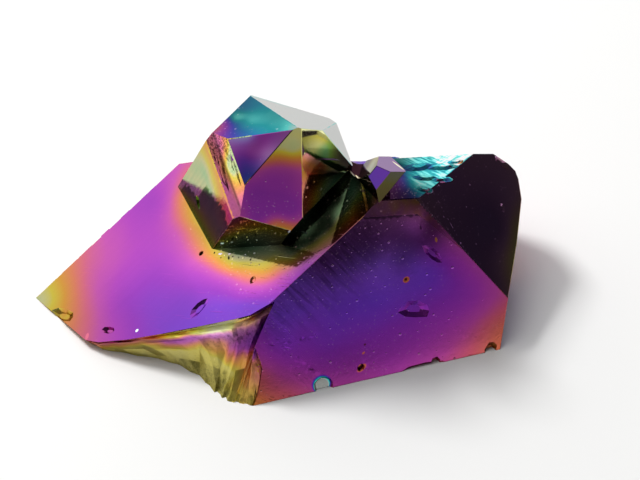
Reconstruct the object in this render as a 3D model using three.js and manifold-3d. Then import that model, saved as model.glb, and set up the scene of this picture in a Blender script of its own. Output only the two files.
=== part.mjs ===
// Titanium aura quartz: a small natural group of rock crystals under a thin metallic film.
// A stout crystal lies on its broken side. An upright crystal grows out of its upper face, and a
// tiny one sits in the corner between the two. They are grown together, so they are one solid.
// Millimetres, +Z up, +X to the right and +Y to the back, with the origin at the middle of the base.

import * as THREE from "three";
import { ConvexGeometry } from "three/addons/geometries/ConvexGeometry.js";
import { mergeVertices } from "three/addons/utils/BufferGeometryUtils.js";
import Module from "manifold-3d";

const wasm = await Module();
wasm.setup();

const vec = (x, y, z) => new THREE.Vector3(x, y, z);
const UP = vec(0, 0, 1);
const DOWN = vec(0, 0, -1);

// ---------------------------------------------------------------------------------------------
// Driving dimensions
// ---------------------------------------------------------------------------------------------

// Every quartz crystal has six side faces round its long axis and up to six tip faces. The normal
// of a tip face leans this many degrees away from the long axis.
const TIP_LEAN = 51.79;

// Each crystal: a centre, the tilt of its long axis from the vertical, the compass direction in
// which it tilts, its turn about its own axis, and how far each face lies from the centre. The
// faces go round the axis in steps of 60 degrees, and null is a face that never grew.
const STOUT = {
  centre: vec(0, 6, 6),
  tilt: 60.16,
  azimuth: 32.52,
  turn: -120.47,
  sides: [8.29, null, null, 15.2, 17.32, 7.51],
  tips: [13.49, 19.65, 19.2, 15.4, 9.17, 11.11],
};
const UPRIGHT = {
  centre: vec(-3, 8, 15),
  tilt: 26.16,
  azimuth: -47.63,
  turn: -48.78,
  sides: [6.31, 3.58, 5.49, 7.02, 8.69, 7.69],
  tips: [6.42, 5.09, 6.46, 6.93, 8.5, 8.43],
};
const TINY = {
  centre: vec(6, 6, 18),
  tilt: 41.68,
  azimuth: -68.37,
  turn: -15.7,
  sides: [null, 1.12, 1.3, 1.71, 1.49, 1.71],
  tips: [2.43, null, null, 2.47, null, 2.55],
  root: 3.6, // the flat end buried in the stout crystal
};

// The stout crystal's back tip face steps out on the left of the upright crystal.
const BACK_STEP = { tip: 4, distance: 10.95, leftOf: -10 };

// The outer corner of the stout crystal's dark tip face is worn round, by small flats that turn
// from its back tip face (share 0) to its right tip face (share 1).
const WORN_CORNER = [
  { share: 0.35, distance: 18.34 },
  { share: 0.47, distance: 20.34 },
  { share: 0.71, distance: 21.85 },
  { share: 0.83, distance: 21.28 },
  { share: 0.97, distance: 19.87 },
];

// Two narrow bevels top its front face: one turns this share of the way to its upper tip face,
// and one tapers out along its dark tip face through three points.
const TOP_BEVEL = { share: 0.14, distance: 9.33 };
const TAPER_BEVEL = [vec(9.5, 3.6, 14.8), vec(14.6, 2.7, 10.1), vec(10.5, 4.4, 15.3)];

// Faint growth bands across the side faces at the back: which side face, where they start and
// end along the axis, how many there are and how far they rise.
const STOUT_BANDS = [
  { side: 4, from: -27, to: -5, count: 8, rise: 0.1 },
];
const UPRIGHT_BANDS = [
  { side: 3, from: -16, to: 2, count: 8, rise: 0.22 },
  { side: 2, from: -13, to: -1, count: 6, rise: 0.1 },
];

// On the left of the upright crystal, growth stopped on a rough step: a tread and a riser, both
// between tip face 5 (share 0) and side face 5 (share 1).
const GROWTH_STEP = {
  tread: { share: 0.44, distance: 7.68 },
  riser: { share: 0.73, distance: 7.59 },
};

const SPLINTERS = [
  { name: "tread", start: vec(-10.7, 8.6, 20.2), count: 5, width: 0.5, height: 0.16 },
  { name: "riser", start: vec(-9.4, 7.3, 21.5), count: 3, width: 0.6, height: 0.12 },
];

// The underside broke off the rock behind: the break rises to the back in a few flats.
const UNDERSIDE = [
  { normal: vec(0.1, 0.6, -0.79), point: vec(0, 16.2, 0) },
  { normal: vec(-0.3, 0.6, -0.74), point: vec(-14, 15, 0) },
  { normal: vec(0.55, 0.42, -0.72), point: vec(15.5, 12.5, 0) },
];

// The front left end is one shell-like break. Its rim runs along the stout crystal's upper face
// to the ridge and down its front face, and its foot runs along the ground.
const BREAK_RIM = [
  vec(-31.4, 7.6, -0.7),
  vec(-29.8, 5.7, 0),
  vec(-24.0, -0.8, 0.9),
  vec(-22.6, -1.5, 1.4),
  vec(-19.5, -2.2, 2.65),
  vec(-16.0, -2.75, 4.2),
  vec(-12.1, -3.25, 5.95),
  vec(-8.5, -3.7, 7.6),
  vec(-6.9, -3.8, 8.35),
  vec(-4.4, -3.1, 9.75),
  vec(-5.1, -3.9, 8.4),
  vec(-6.4, -5.6, 5.9),
  vec(-5.7, -6.45, 3.7),
  vec(-6.3, -8.5, 0.1),
];
const BREAK_FOOT = [
  vec(-31.6, 7.3, -1),
  vec(-29.7, 5.5, -1),
  vec(-23.4, -0.1, -1),
  vec(-21.9, -1.8, -1),
  vec(-18.7, -2.4, -1),
  vec(-15.1, -3.4, -1),
  vec(-12.2, -5.3, -1),
  vec(-11.0, -7.4, -1),
  vec(-10.3, -8.3, -1),
  vec(-9.5, -8.75, -1),
  vec(-8.7, -8.9, -1),
  vec(-8.0, -9.05, -1),
  vec(-7.4, -9.2, -1),
  vec(-6.8, -9.4, -1),
];
const BREAK_OUTWARD = vec(0, -0.676, 0.737); // every part of the break looks this way
const BREAK_HOLLOW = 0.8; // how far its middle dishes in
const BREAK_LEDGE = 0.55; // the groove under its rim
const BREAK_GRAIN = 0.28; // the unevenness of its facets

// ---------------------------------------------------------------------------------------------
// Solids
// ---------------------------------------------------------------------------------------------

// A closed geometry as a solid that can be joined and cut.
function toSolid(geometry) {
  const bare = geometry.clone();
  bare.deleteAttribute("normal");
  bare.deleteAttribute("uv");
  const merged = mergeVertices(bare, 1e-4);
  return new wasm.Manifold(
    new wasm.Mesh({
      numProp: 3,
      vertProperties: new Float32Array(merged.attributes.position.array),
      triVerts: new Uint32Array(merged.index.array),
    }),
  );
}

// The geometry of a finished solid.
function toGeometry(solid) {
  const mesh = solid.getMesh();
  const geometry = new THREE.BufferGeometry();
  geometry.setAttribute("position", new THREE.BufferAttribute(mesh.vertProperties, 3));
  geometry.setIndex(new THREE.BufferAttribute(mesh.triVerts, 1));
  return geometry;
}

const hull = (points) => toSolid(new ConvexGeometry(points));

// The convex solid behind a set of planes, each with an outward normal and its distance from the
// origin along it: every corner where three planes meet that no other plane cuts off.
function behindPlanes(planes) {
  const corners = [];
  const inside = (p) => planes.every(({ normal, distance }) => normal.dot(p) < distance + 1e-5);
  for (let i = 0; i < planes.length; i++) {
    for (let j = i + 1; j < planes.length; j++) {
      for (let k = j + 1; k < planes.length; k++) {
        const [a, b, c] = [planes[i], planes[j], planes[k]];
        const bc = b.normal.clone().cross(c.normal);
        const volume = a.normal.dot(bc);
        if (Math.abs(volume) < 1e-6) continue;
        const corner = bc
          .multiplyScalar(a.distance)
          .addScaledVector(c.normal.clone().cross(a.normal), b.distance)
          .addScaledVector(a.normal.clone().cross(b.normal), c.distance)
          .divideScalar(volume);
        if (inside(corner)) corners.push(corner);
      }
    }
  }
  return hull(corners);
}

// A plane through a point.
const planeAt = (normal, point) => {
  const unit = normal.clone().normalize();
  return { normal: unit, distance: unit.dot(point) };
};

// The plane through three points that looks away from the stout crystal's centre.
function planeThrough(a, b, c) {
  const normal = b.clone().sub(a).cross(c.clone().sub(a)).normalize();
  if (normal.dot(a.clone().sub(STOUT.centre)) < 0) normal.negate();
  return planeAt(normal, a);
}

// A closed solid through rings of points, each ring joined to the next and both ends capped.
function loft(rings) {
  const count = rings[0].length;
  const points = rings.flat();
  const index = [];
  const at = (ring, k) => ring * count + (k % count);
  for (let ring = 0; ring + 1 < rings.length; ring++) {
    for (let k = 0; k < count; k++) {
      index.push(at(ring, k), at(ring + 1, k + 1), at(ring, k + 1));
      index.push(at(ring, k), at(ring + 1, k), at(ring + 1, k + 1));
    }
  }
  for (const [ring, order] of [[0, 1], [rings.length - 1, -1]]) {
    const middle = new THREE.Vector3();
    rings[ring].forEach((p) => middle.addScaledVector(p, 1 / count));
    points.push(middle);
    for (let k = 0; k < count; k++) {
      const pair = [at(ring, k), at(ring, k + 1)];
      if (order < 0) pair.reverse();
      index.push(pair[0], pair[1], points.length - 1);
    }
  }
  const geometry = new THREE.BufferGeometry().setFromPoints(points);
  geometry.setIndex(index);
  return toSolid(geometry);
}

// ---------------------------------------------------------------------------------------------
// Crystals
// ---------------------------------------------------------------------------------------------

// The long axis and the twelve face normals of a crystal.
function normalsOf({ tilt, azimuth, turn }) {
  const rad = THREE.MathUtils.degToRad;
  const toPlace = new THREE.Matrix4()
    .makeRotationZ(rad(azimuth))
    .multiply(new THREE.Matrix4().makeRotationY(rad(tilt)))
    .multiply(new THREE.Matrix4().makeRotationZ(rad(turn)));
  const axis = UP.clone().transformDirection(toPlace);
  const lean = rad(TIP_LEAN);
  const sides = [];
  const tips = [];
  for (let k = 0; k < 6; k++) {
    const side = vec(Math.cos(rad(60 * k)), Math.sin(rad(60 * k)), 0).transformDirection(toPlace);
    sides.push(side);
    tips.push(side.clone().multiplyScalar(Math.sin(lean)).addScaledVector(axis, Math.cos(lean)));
  }
  return { axis, sides, tips };
}

// The planes of the faces that a crystal has.
function facesOf(crystal) {
  const normals = normalsOf(crystal);
  const planes = [];
  for (const kind of ["sides", "tips"]) {
    crystal[kind].forEach((distance, k) => {
      if (distance === null) return;
      const normal = normals[kind][k];
      planes.push({ normal, distance: distance + normal.dot(crystal.centre) });
    });
  }
  if (crystal.root) {
    const normal = normals.axis.clone().negate();
    planes.push({ normal, distance: crystal.root + normal.dot(crystal.centre) });
  }
  return planes;
}

// A frame on a face: its points lie `along` one direction in the face and `across` it, counted
// from an origin, at a height over the face.
function frameAt(origin, along, normal) {
  const across = normal.clone().cross(along);
  const point = (a, b, height = 0) =>
    origin
      .clone()
      .addScaledVector(along, a)
      .addScaledVector(across, b)
      .addScaledVector(normal, height);
  return { point };
}

// The frame of one face of a crystal: along the crystal's axis, from the foot of the
// perpendicular from its centre.
function onFace(crystal, kind, k) {
  const normals = normalsOf(crystal);
  const normal = normals[kind][k];
  const along = normals.axis.clone().projectOnPlane(normal).normalize();
  const origin = crystal.centre.clone().addScaledVector(normal, crystal[kind][k]);
  return frameAt(origin, along, normal);
}

// ---------------------------------------------------------------------------------------------
// Surface features
// ---------------------------------------------------------------------------------------------

// A repeatable irregularity between -1 and 1.
const uneven = (a, b) => {
  const wave = Math.sin(a * 12.9898 + b * 78.233) * 43758.5453;
  return 2 * (wave - Math.floor(wave)) - 1;
};

// An uneven oval lens through a face, with a small floor at `depth`. It is cut away for a chip or
// a pit, and with a negative depth it is joined on as a lump or a growth plate.
function lens(face, { along, across, heading = 0, length, width, depth, corners = 9, floor = 0.45 }) {
  const points = [];
  const turn = THREE.MathUtils.degToRad(heading);
  const rows = [
    { size: 1.12, height: 0.12 * Math.sign(depth) },
    { size: 1, height: 0 },
    { size: floor, height: -depth },
  ];
  for (const { size, height } of rows) {
    for (let k = 0; k < corners; k++) {
      const angle = (2 * Math.PI * k) / corners;
      const rough = 1 + 0.14 * uneven(k + along, across + corners);
      const a = 0.5 * length * size * rough * Math.cos(angle);
      const b = 0.5 * width * size * rough * Math.sin(angle);
      points.push(
        face.point(
          along + a * Math.cos(turn) - b * Math.sin(turn),
          across + a * Math.sin(turn) + b * Math.cos(turn),
          height,
        ),
      );
    }
  }
  return hull(points);
}

// The body of the break: everything in front of a grooved, dished and faceted surface between the
// rim and the foot.
function breakAway() {
  const STEPS = 3; // facets between two named points
  const ROWS = [0, 0.05, 0.11, 0.22, 0.4, 0.6, 0.8, 1];
  const REACH = 40; // well past the outside of the crystal
  const rings = [];
  const last = BREAK_RIM.length - 1;
  for (let n = 0; n <= last * STEPS; n++) {
    const i = Math.min(Math.floor(n / STEPS), last - 1);
    const share = n / STEPS - i;
    const rim = BREAK_RIM[i].clone().lerp(BREAK_RIM[i + 1], share);
    const foot = BREAK_FOOT[i].clone().lerp(BREAK_FOOT[i + 1], share);
    const middle = Math.sin((Math.PI * n) / (last * STEPS));
    const ring = ROWS.map((row, r) => {
      const p = rim.clone().lerp(foot, row);
      if (r === 0 || r === ROWS.length - 1) return p;
      const groove = r === 1 ? BREAK_LEDGE * middle : 0;
      const dish = BREAK_HOLLOW * middle * Math.sin(Math.PI * row);
      const grain = r > 1 ? BREAK_GRAIN * middle * uneven(n, r) : 0;
      return p.addScaledVector(BREAK_OUTWARD, grain - groove - dish);
    });
    const low = foot.clone().addScaledVector(DOWN, 14);
    ring.push(low, low.clone().addScaledVector(BREAK_OUTWARD, REACH));
    ring.push(rim.clone().addScaledVector(BREAK_OUTWARD, REACH));
    rings.push(ring);
  }
  return loft(rings);
}

// ---------------------------------------------------------------------------------------------
// The three crystals
// ---------------------------------------------------------------------------------------------

const ground = planeAt(DOWN, vec(0, 0, 0));

// A plane that turns from one face of a crystal (share 0) to another (share 1).
function between(crystal, from, to, { share, distance }) {
  const spread = from.angleTo(to);
  const normal = from
    .clone()
    .multiplyScalar(Math.sin((1 - share) * spread))
    .addScaledVector(to, Math.sin(share * spread))
    .normalize();
  return { normal, distance: distance + normal.dot(crystal.centre) };
}

// Thin slabs across a crystal, each a little proud of one side face and behind all the others.
function growthBands(crystal, rows) {
  const SET_BACK = 0.15;
  const { axis } = normalsOf(crystal);
  const bands = [];
  for (const { side, from, to, count, rise } of rows) {
    const pitch = (to - from) / count;
    for (let k = 0; k < count; k++) {
      const middle = from + pitch * (k + 0.5 + 0.15 * uneven(k, side));
      const half = pitch * (0.3 + 0.12 * uneven(side, k));
      const sides = crystal.sides.map((d) => (d === null ? null : d - SET_BACK));
      sides[side] = crystal.sides[side] + rise * (0.7 + 0.3 * uneven(k + 2, side));
      const tips = crystal.tips.map((d) => d - SET_BACK);
      const ends = [
        planeAt(axis, crystal.centre.clone().addScaledVector(axis, middle + half)),
        planeAt(axis.clone().negate(), crystal.centre.clone().addScaledVector(axis, middle - half)),
      ];
      bands.push(behindPlanes([...facesOf({ ...crystal, sides, tips }), ground, ...ends]));
    }
  }
  return bands;
}

function stoutCrystal() {
  const { sides, tips } = normalsOf(STOUT);
  const worn = WORN_CORNER.map((flat) => between(STOUT, tips[4], tips[1], flat));
  const bevels = [between(STOUT, sides[0], tips[5], TOP_BEVEL), planeThrough(...TAPER_BEVEL)];
  const body = behindPlanes([...facesOf(STOUT), ground, ...worn, ...bevels]);
  const stepped = { ...STOUT, tips: [...STOUT.tips] };
  stepped.tips[BACK_STEP.tip] = BACK_STEP.distance;
  const stepEnd = planeAt(vec(1, 0, 0), vec(BACK_STEP.leftOf, 0, 0));
  const leftBody = behindPlanes([...facesOf(stepped), ground, stepEnd]);
  const bands = growthBands(STOUT, STOUT_BANDS);
  return [leftBody, ...bands].reduce((sum, piece) => sum.add(piece), body).subtract(breakAway());
}

function uprightCrystal() {
  const { sides, tips } = normalsOf(UPRIGHT);
  const faces = [...facesOf(UPRIGHT), ground];
  const tread = between(UPRIGHT, tips[5], sides[5], GROWTH_STEP.tread);
  const riser = between(UPRIGHT, tips[5], sides[5], GROWTH_STEP.riser);
  const body = behindPlanes([...faces, tread]).add(behindPlanes([...faces, riser]));
  return growthBands(UPRIGHT, UPRIGHT_BANDS).reduce((sum, band) => sum.add(band), body);
}

const tinyCrystal = () => behindPlanes(facesOf(TINY));

// Everything above the broken underside.
function aboveUnderside() {
  const FAR = 60;
  const walls = [vec(1, 0, 0), vec(-1, 0, 0), vec(0, 1, 0), vec(0, -1, 0), UP, DOWN];
  return behindPlanes([
    ...walls.map((normal) => ({ normal, distance: FAR })),
    ...UNDERSIDE.map(({ normal, point }) => planeAt(normal, point)),
  ]);
}

// ---------------------------------------------------------------------------------------------
// Chips, pits and growth plates
// ---------------------------------------------------------------------------------------------

const front = onFace(STOUT, "sides", 0);
const upper = onFace(STOUT, "sides", 5);
const topTip = onFace(STOUT, "tips", 5);
const darkTip = onFace(STOUT, "tips", 0);
const backTip = onFace(STOUT, "tips", 4);
const backSide = onFace(STOUT, "sides", 4);
const uprightBack = onFace(UPRIGHT, "sides", 3);
const uprightLeft = onFace(UPRIGHT, "sides", 5);

const CHIPS = [
  // on the front face: a shell-like chip, a long one near the ridge, and round pits
  [front, { along: 3.6, across: -7.5, heading: -50, length: 3.4, width: 1.9, depth: 0.32 }],
  [front, { along: 8.8, across: -4.4, heading: -88, length: 3.0, width: 1.0, depth: 0.28 }],
  [front, { along: -4.3, across: -8.2, length: 0.9, width: 0.8, depth: 0.32, corners: 8 }],
  [front, { along: 5.1, across: -4.4, length: 0.45, width: 0.45, depth: 0.12, corners: 7 }],
  [front, { along: -8.3, across: -6.8, length: 2.1, width: 1.9, depth: 0.22, corners: 12, floor: 0.8 }],
  // along the foot of the front face
  [front, { along: -0.1, across: -13.2, heading: -34, length: 5.2, width: 1.5, depth: 0.45 }],
  [front, { along: 1.4, across: -13.7, heading: 40, length: 1.5, width: 1.1, depth: 0.6, corners: 7 }],
  [front, { along: -9.6, across: -6.9, heading: -34, length: 3.4, width: 0.9, depth: 0.3 }],
  [front, { along: 6.3, across: -17.0, heading: 30, length: 2.2, width: 1.3, depth: 0.5, corners: 8 }],
  // on the upper face
  [upper, { along: -8.4, across: 5.1, length: 0.6, width: 0.5, depth: 0.22, corners: 7 }],
  [upper, { along: -6.0, across: -1.7, heading: 20, length: 0.9, width: 0.6, depth: 0.2, corners: 8 }],
  [upper, { along: -12.0, across: 0.3, heading: 5, length: 2.6, width: 1.1, depth: 0.22 }],
  [upper, { along: -23.7, across: 11.6, heading: -57, length: 3.0, width: 1.4, depth: 0.5 }],
  [upper, { along: -20.7, across: 6.0, heading: -50, length: 1.6, width: 0.8, depth: 0.35, corners: 8 }],
  // on the dark tip face and its worn edge
  [darkTip, { along: 11.2, across: -8.2, heading: 60, length: 1.1, width: 0.6, depth: 0.14, corners: 7 }],
  [darkTip, { along: 15.2, across: -5.6, heading: 100, length: 2.4, width: 0.9, depth: 0.3 }],
  // on the faces at the back
  [backTip, { along: 5.5, across: -5.5, heading: 70, length: 3.6, width: 2.2, depth: 0.4 }],
  [backTip, { along: 9.0, across: -10.5, heading: 20, length: 2.6, width: 1.6, depth: 0.35 }],
  [backSide, { along: -17, across: 4.6, heading: 10, length: 4.4, width: 2.0, depth: 0.4 }],
  [backSide, { along: -9, across: 5.6, heading: -25, length: 2.6, width: 1.4, depth: 0.3 }],
  [uprightBack, { along: -3.5, across: 1.8, heading: 30, length: 3.2, width: 1.9, depth: 0.35 }],
  [uprightLeft, { along: -6.0, across: 2.2, heading: 60, length: 1.6, width: 0.8, depth: 0.2 }],
];

// Raised growth plates, thin and longer than wide.
const PLATES = [
  [topTip, { along: 8.6, across: -2.5, heading: -14, length: 3.4, width: 1.1, depth: -0.22 }],
  [topTip, { along: 10.9, across: -3.5, heading: -18, length: 3.4, width: 1.0, depth: -0.26 }],
  [topTip, { along: 8.3, across: -4.2, heading: -26, length: 3.0, width: 0.9, depth: -0.26 }],
  [topTip, { along: 9.6, across: -5.0, heading: -20, length: 2.4, width: 0.7, depth: -0.2 }],
  [topTip, { along: 12.6, across: -3.4, heading: -12, length: 1.8, width: 0.6, depth: -0.14 }],
  [topTip, { along: 7.2, across: -5.6, heading: -40, length: 1.8, width: 0.8, depth: -0.2 }],
  [backTip, { along: 2.0, across: -9.5, heading: 64, length: 6.5, width: 2.4, depth: -0.3, floor: 0.7 }],
  [backTip, { along: 8.0, across: -3.0, heading: 55, length: 4.5, width: 1.6, depth: -0.22, floor: 0.7 }],
];

// Splinters that run down the tread and the riser of the growth step, side by side.
function splinters() {
  const { sides, tips } = normalsOf(UPRIGHT);
  const down = tips[5].clone().cross(sides[5]).normalize();
  const made = [];
  for (const { name, start, count, width, height } of SPLINTERS) {
    const { normal } = between(UPRIGHT, tips[5], sides[5], GROWTH_STEP[name]);
    const face = frameAt(start, down, normal);
    for (let k = 0; k < count; k++) {
      const splinter = {
        along: 1.4 + (3.0 * k) / count + 0.4 * uneven(k, 3),
        across: 0.3 * ((k % 3) - 1),
        heading: 3 * uneven(k, 5),
        length: 3 + uneven(k, 7),
        width,
        depth: -height,
        corners: 6,
      };
      made.push(lens(face, splinter));
    }
  }
  return made;
}

function wholeCluster() {
  let solid = stoutCrystal().add(uprightCrystal()).add(tinyCrystal());
  for (const [face, chip] of CHIPS) solid = solid.subtract(lens(face, chip));
  for (const [face, plate] of PLATES) solid = solid.add(lens(face, plate));
  for (const splinter of splinters()) solid = solid.add(splinter);
  return solid.intersect(aboveUnderside());
}

// ---------------------------------------------------------------------------------------------
// Scene graph
// ---------------------------------------------------------------------------------------------

const filmedQuartz = new THREE.MeshStandardMaterial({
  color: 0x6a2f9a,
  roughness: 0.15,
  metalness: 0.9,
});

const crystals = new THREE.Mesh(toGeometry(wholeCluster()), filmedQuartz);
crystals.name = "crystal_cluster";

const box = new THREE.Box3().setFromBufferAttribute(crystals.geometry.getAttribute("position"));
const middle = box.getCenter(new THREE.Vector3());
crystals.position.set(-middle.x, -middle.y, -box.min.z);

const auraQuartz = new THREE.Group();
auraQuartz.add(crystals);

export default auraQuartz;
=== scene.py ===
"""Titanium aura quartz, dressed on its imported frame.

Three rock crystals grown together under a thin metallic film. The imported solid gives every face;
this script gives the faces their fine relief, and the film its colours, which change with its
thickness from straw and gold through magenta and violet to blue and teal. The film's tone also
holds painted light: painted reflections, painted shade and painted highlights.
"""

import math

import bpy
import numpy as np
from mathutils import Matrix, Vector, noise


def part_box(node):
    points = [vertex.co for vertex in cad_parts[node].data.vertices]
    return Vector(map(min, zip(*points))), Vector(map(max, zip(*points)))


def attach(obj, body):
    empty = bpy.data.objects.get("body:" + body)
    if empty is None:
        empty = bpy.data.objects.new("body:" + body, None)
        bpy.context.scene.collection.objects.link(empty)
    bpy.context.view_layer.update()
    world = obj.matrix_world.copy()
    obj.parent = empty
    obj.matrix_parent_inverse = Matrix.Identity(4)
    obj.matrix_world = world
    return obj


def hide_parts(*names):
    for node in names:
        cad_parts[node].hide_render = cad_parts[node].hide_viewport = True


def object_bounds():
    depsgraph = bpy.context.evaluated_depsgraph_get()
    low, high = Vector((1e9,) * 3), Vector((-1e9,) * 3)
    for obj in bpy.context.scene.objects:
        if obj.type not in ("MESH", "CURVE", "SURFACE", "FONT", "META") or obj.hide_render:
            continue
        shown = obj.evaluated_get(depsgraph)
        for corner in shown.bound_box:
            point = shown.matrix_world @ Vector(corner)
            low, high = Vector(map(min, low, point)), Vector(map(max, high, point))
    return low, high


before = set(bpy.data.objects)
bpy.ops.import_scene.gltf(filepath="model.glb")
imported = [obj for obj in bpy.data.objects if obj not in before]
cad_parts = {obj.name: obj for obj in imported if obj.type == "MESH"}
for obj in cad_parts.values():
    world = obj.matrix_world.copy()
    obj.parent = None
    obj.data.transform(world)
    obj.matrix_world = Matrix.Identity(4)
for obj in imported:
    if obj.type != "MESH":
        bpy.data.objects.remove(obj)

bl_info = {
    "name": "Aura Quartz",
    "version": (1, 0, 0),
    "blender": (4, 5, 0),
    "location": "3D View > Sidebar > Aura Quartz",
    "description": "A film-coated quartz cluster and the studio it stands in",
    "category": "Object",
}

NODE = "crystal_cluster"
PIECE = "aura_quartz"
MM = 0.001

# The lowest corner of the solid in the crystals' own millimetres. It ties their numbers to the
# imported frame.
LOW_CORNER = np.array([-29.77, -8.61, 0.0])
SHIFT = np.array(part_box(NODE)[0]) / MM - LOW_CORNER
CAD_BOX = [list(corner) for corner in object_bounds()]


# ---------------------------------------------------------------------------------------------
# The crystals and their faces
# ---------------------------------------------------------------------------------------------

# The normal of a quartz tip face leans this many degrees away from the long axis.
TIP_LEAN = 51.79

# Centre, tilt of the long axis, compass direction of the tilt, and turn about the axis.
CRYSTALS = {
    "stout": dict(centre=(0, 6, 6), tilt=60.16, azimuth=32.52, turn=-120.47),
    "upright": dict(centre=(-3, 8, 15), tilt=26.16, azimuth=-47.63, turn=-48.78),
    "tiny": dict(centre=(6, 6, 18), tilt=41.68, azimuth=-68.37, turn=-15.7),
}

# Every face that shows: its crystal, its kind and number round the axis, and its distance.
FACES = {
    "front": ("stout", "side", 0, 8.29),
    "upper": ("stout", "side", 5, 7.51),
    "back side": ("stout", "side", 4, 17.32),
    "low side": ("stout", "side", 3, 15.2),
    "dark tip": ("stout", "tip", 0, 13.49),
    "far tip": ("stout", "tip", 1, 19.65),
    "low tip": ("stout", "tip", 2, 19.2),
    "hind tip": ("stout", "tip", 3, 15.4),
    "back tip": ("stout", "tip", 4, 9.17),
    "back step": ("stout", "tip", 4, 10.95),
    "top tip": ("stout", "tip", 5, 11.11),
    "window": ("upright", "tip", 0, 6.42),
    "mirror tip": ("upright", "tip", 1, 5.09),
    "pale right": ("upright", "tip", 2, 6.46),
    "pale back": ("upright", "tip", 3, 6.93),
    "teal tip": ("upright", "tip", 4, 8.5),
    "left tip": ("upright", "tip", 5, 8.43),
    "foot front": ("upright", "side", 0, 6.31),
    "foot right": ("upright", "side", 1, 3.58),
    "foot back right": ("upright", "side", 2, 5.49),
    "foot back": ("upright", "side", 3, 7.02),
    "foot back left": ("upright", "side", 4, 8.69),
    "foot left": ("upright", "side", 5, 7.69),
    "tiny roof": ("tiny", "tip", 0, 2.43),
    "tiny left roof": ("tiny", "tip", 3, 2.47),
    "tiny blue": ("tiny", "tip", 5, 2.55),
    "tiny side 1": ("tiny", "side", 1, 1.12),
    "tiny side 2": ("tiny", "side", 2, 1.3),
    "tiny side 3": ("tiny", "side", 3, 1.71),
    "tiny side 4": ("tiny", "side", 4, 1.49),
    "tiny side 5": ("tiny", "side", 5, 1.71),
}


def unit(vector):
    """The vector at length 1."""
    return vector / np.linalg.norm(vector)


def crystal_axes(crystal):
    """The long axis and the twelve face normals of a crystal."""
    turned = (
        Matrix.Rotation(math.radians(crystal["azimuth"]), 3, "Z")
        @ Matrix.Rotation(math.radians(crystal["tilt"]), 3, "Y")
        @ Matrix.Rotation(math.radians(crystal["turn"]), 3, "Z")
    )
    axis = np.array(turned @ Vector((0, 0, 1)))
    lean = math.radians(TIP_LEAN)
    normals = {"side": [], "tip": []}
    for k in range(6):
        around = math.radians(60 * k)
        side = np.array(turned @ Vector((math.cos(around), math.sin(around), 0)))
        normals["side"].append(side)
        normals["tip"].append(side * math.sin(lean) + axis * math.cos(lean))
    return axis, normals


class Face:
    """A flat crystal face: its plane, and millimetres along the crystal and across it."""

    def __init__(self, crystal, kind, k, distance):
        form = CRYSTALS[crystal]
        axis, normals = crystal_axes(form)
        self.crystal = crystal
        self.normal = normals[kind][k]
        self.along = unit(axis - (axis @ self.normal) * self.normal)
        self.across = np.cross(self.normal, self.along)
        self.origin = np.array(form["centre"], float) + self.normal * distance

    def height(self, points):
        """How far the points lie outside the face's plane."""
        return (points - self.origin) @ self.normal

    def chart(self, points):
        """How far the points lie along the crystal and across it, from the face's origin."""
        flat = points - self.origin
        return flat @ self.along, flat @ self.across


PLAIN = {name: Face(*spec) for name, spec in FACES.items()}
NAMES = list(PLAIN)
BROKEN = -1  # the owner of the rough breaks, which belong to no face
FLAT, CHIP, ROUGH, STEP = range(4)  # how a facet belongs to its face
CHART_GAP = 60.0  # millimetres between the charts of two faces, side by side in one layer

# The middle of the rough growth step on the left of the upright crystal, and how far it reaches.
GROWTH_STEP = np.array([-10.0, 7.0, 19.5])
GROWTH_REACH = 5.5

# ---------------------------------------------------------------------------------------------
# The film
# ---------------------------------------------------------------------------------------------

# The colours that the film takes as it thickens, from its thinnest (0) to its thickest (1).
FILM_COLOURS = [
    ("mist", "Grey green", 0.0, (0.26, 0.62, 0.32)),
    ("straw", "Straw", 0.03, (0.66, 0.64, 0.32)),
    ("olive", "Olive gold", 0.07, (0.75, 0.62, 0.09)),
    ("amber", "Amber", 0.15, (0.80, 0.40, 0.08)),
    ("coral", "Coral", 0.24, (0.82, 0.27, 0.16)),
    ("pink", "Pink", 0.31, (0.77, 0.19, 0.29)),
    ("magenta", "Magenta", 0.39, (0.64, 0.13, 0.50)),
    ("orchid", "Orchid", 0.48, (0.50, 0.09, 0.56)),
    ("violet", "Violet", 0.57, (0.36, 0.07, 0.55)),
    ("indigo", "Blue violet", 0.66, (0.24, 0.08, 0.62)),
    ("blue", "Blue", 0.76, (0.09, 0.10, 0.58)),
    ("azure", "Azure", 0.83, (0.03, 0.20, 0.48)),
    ("teal", "Teal", 0.90, (0.02, 0.42, 0.46)),
    ("aqua", "Aqua", 0.94, (0.16, 0.78, 0.72)),
    ("silver", "Pale silver", 0.98, (0.67, 0.69, 0.67)),
]

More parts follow.
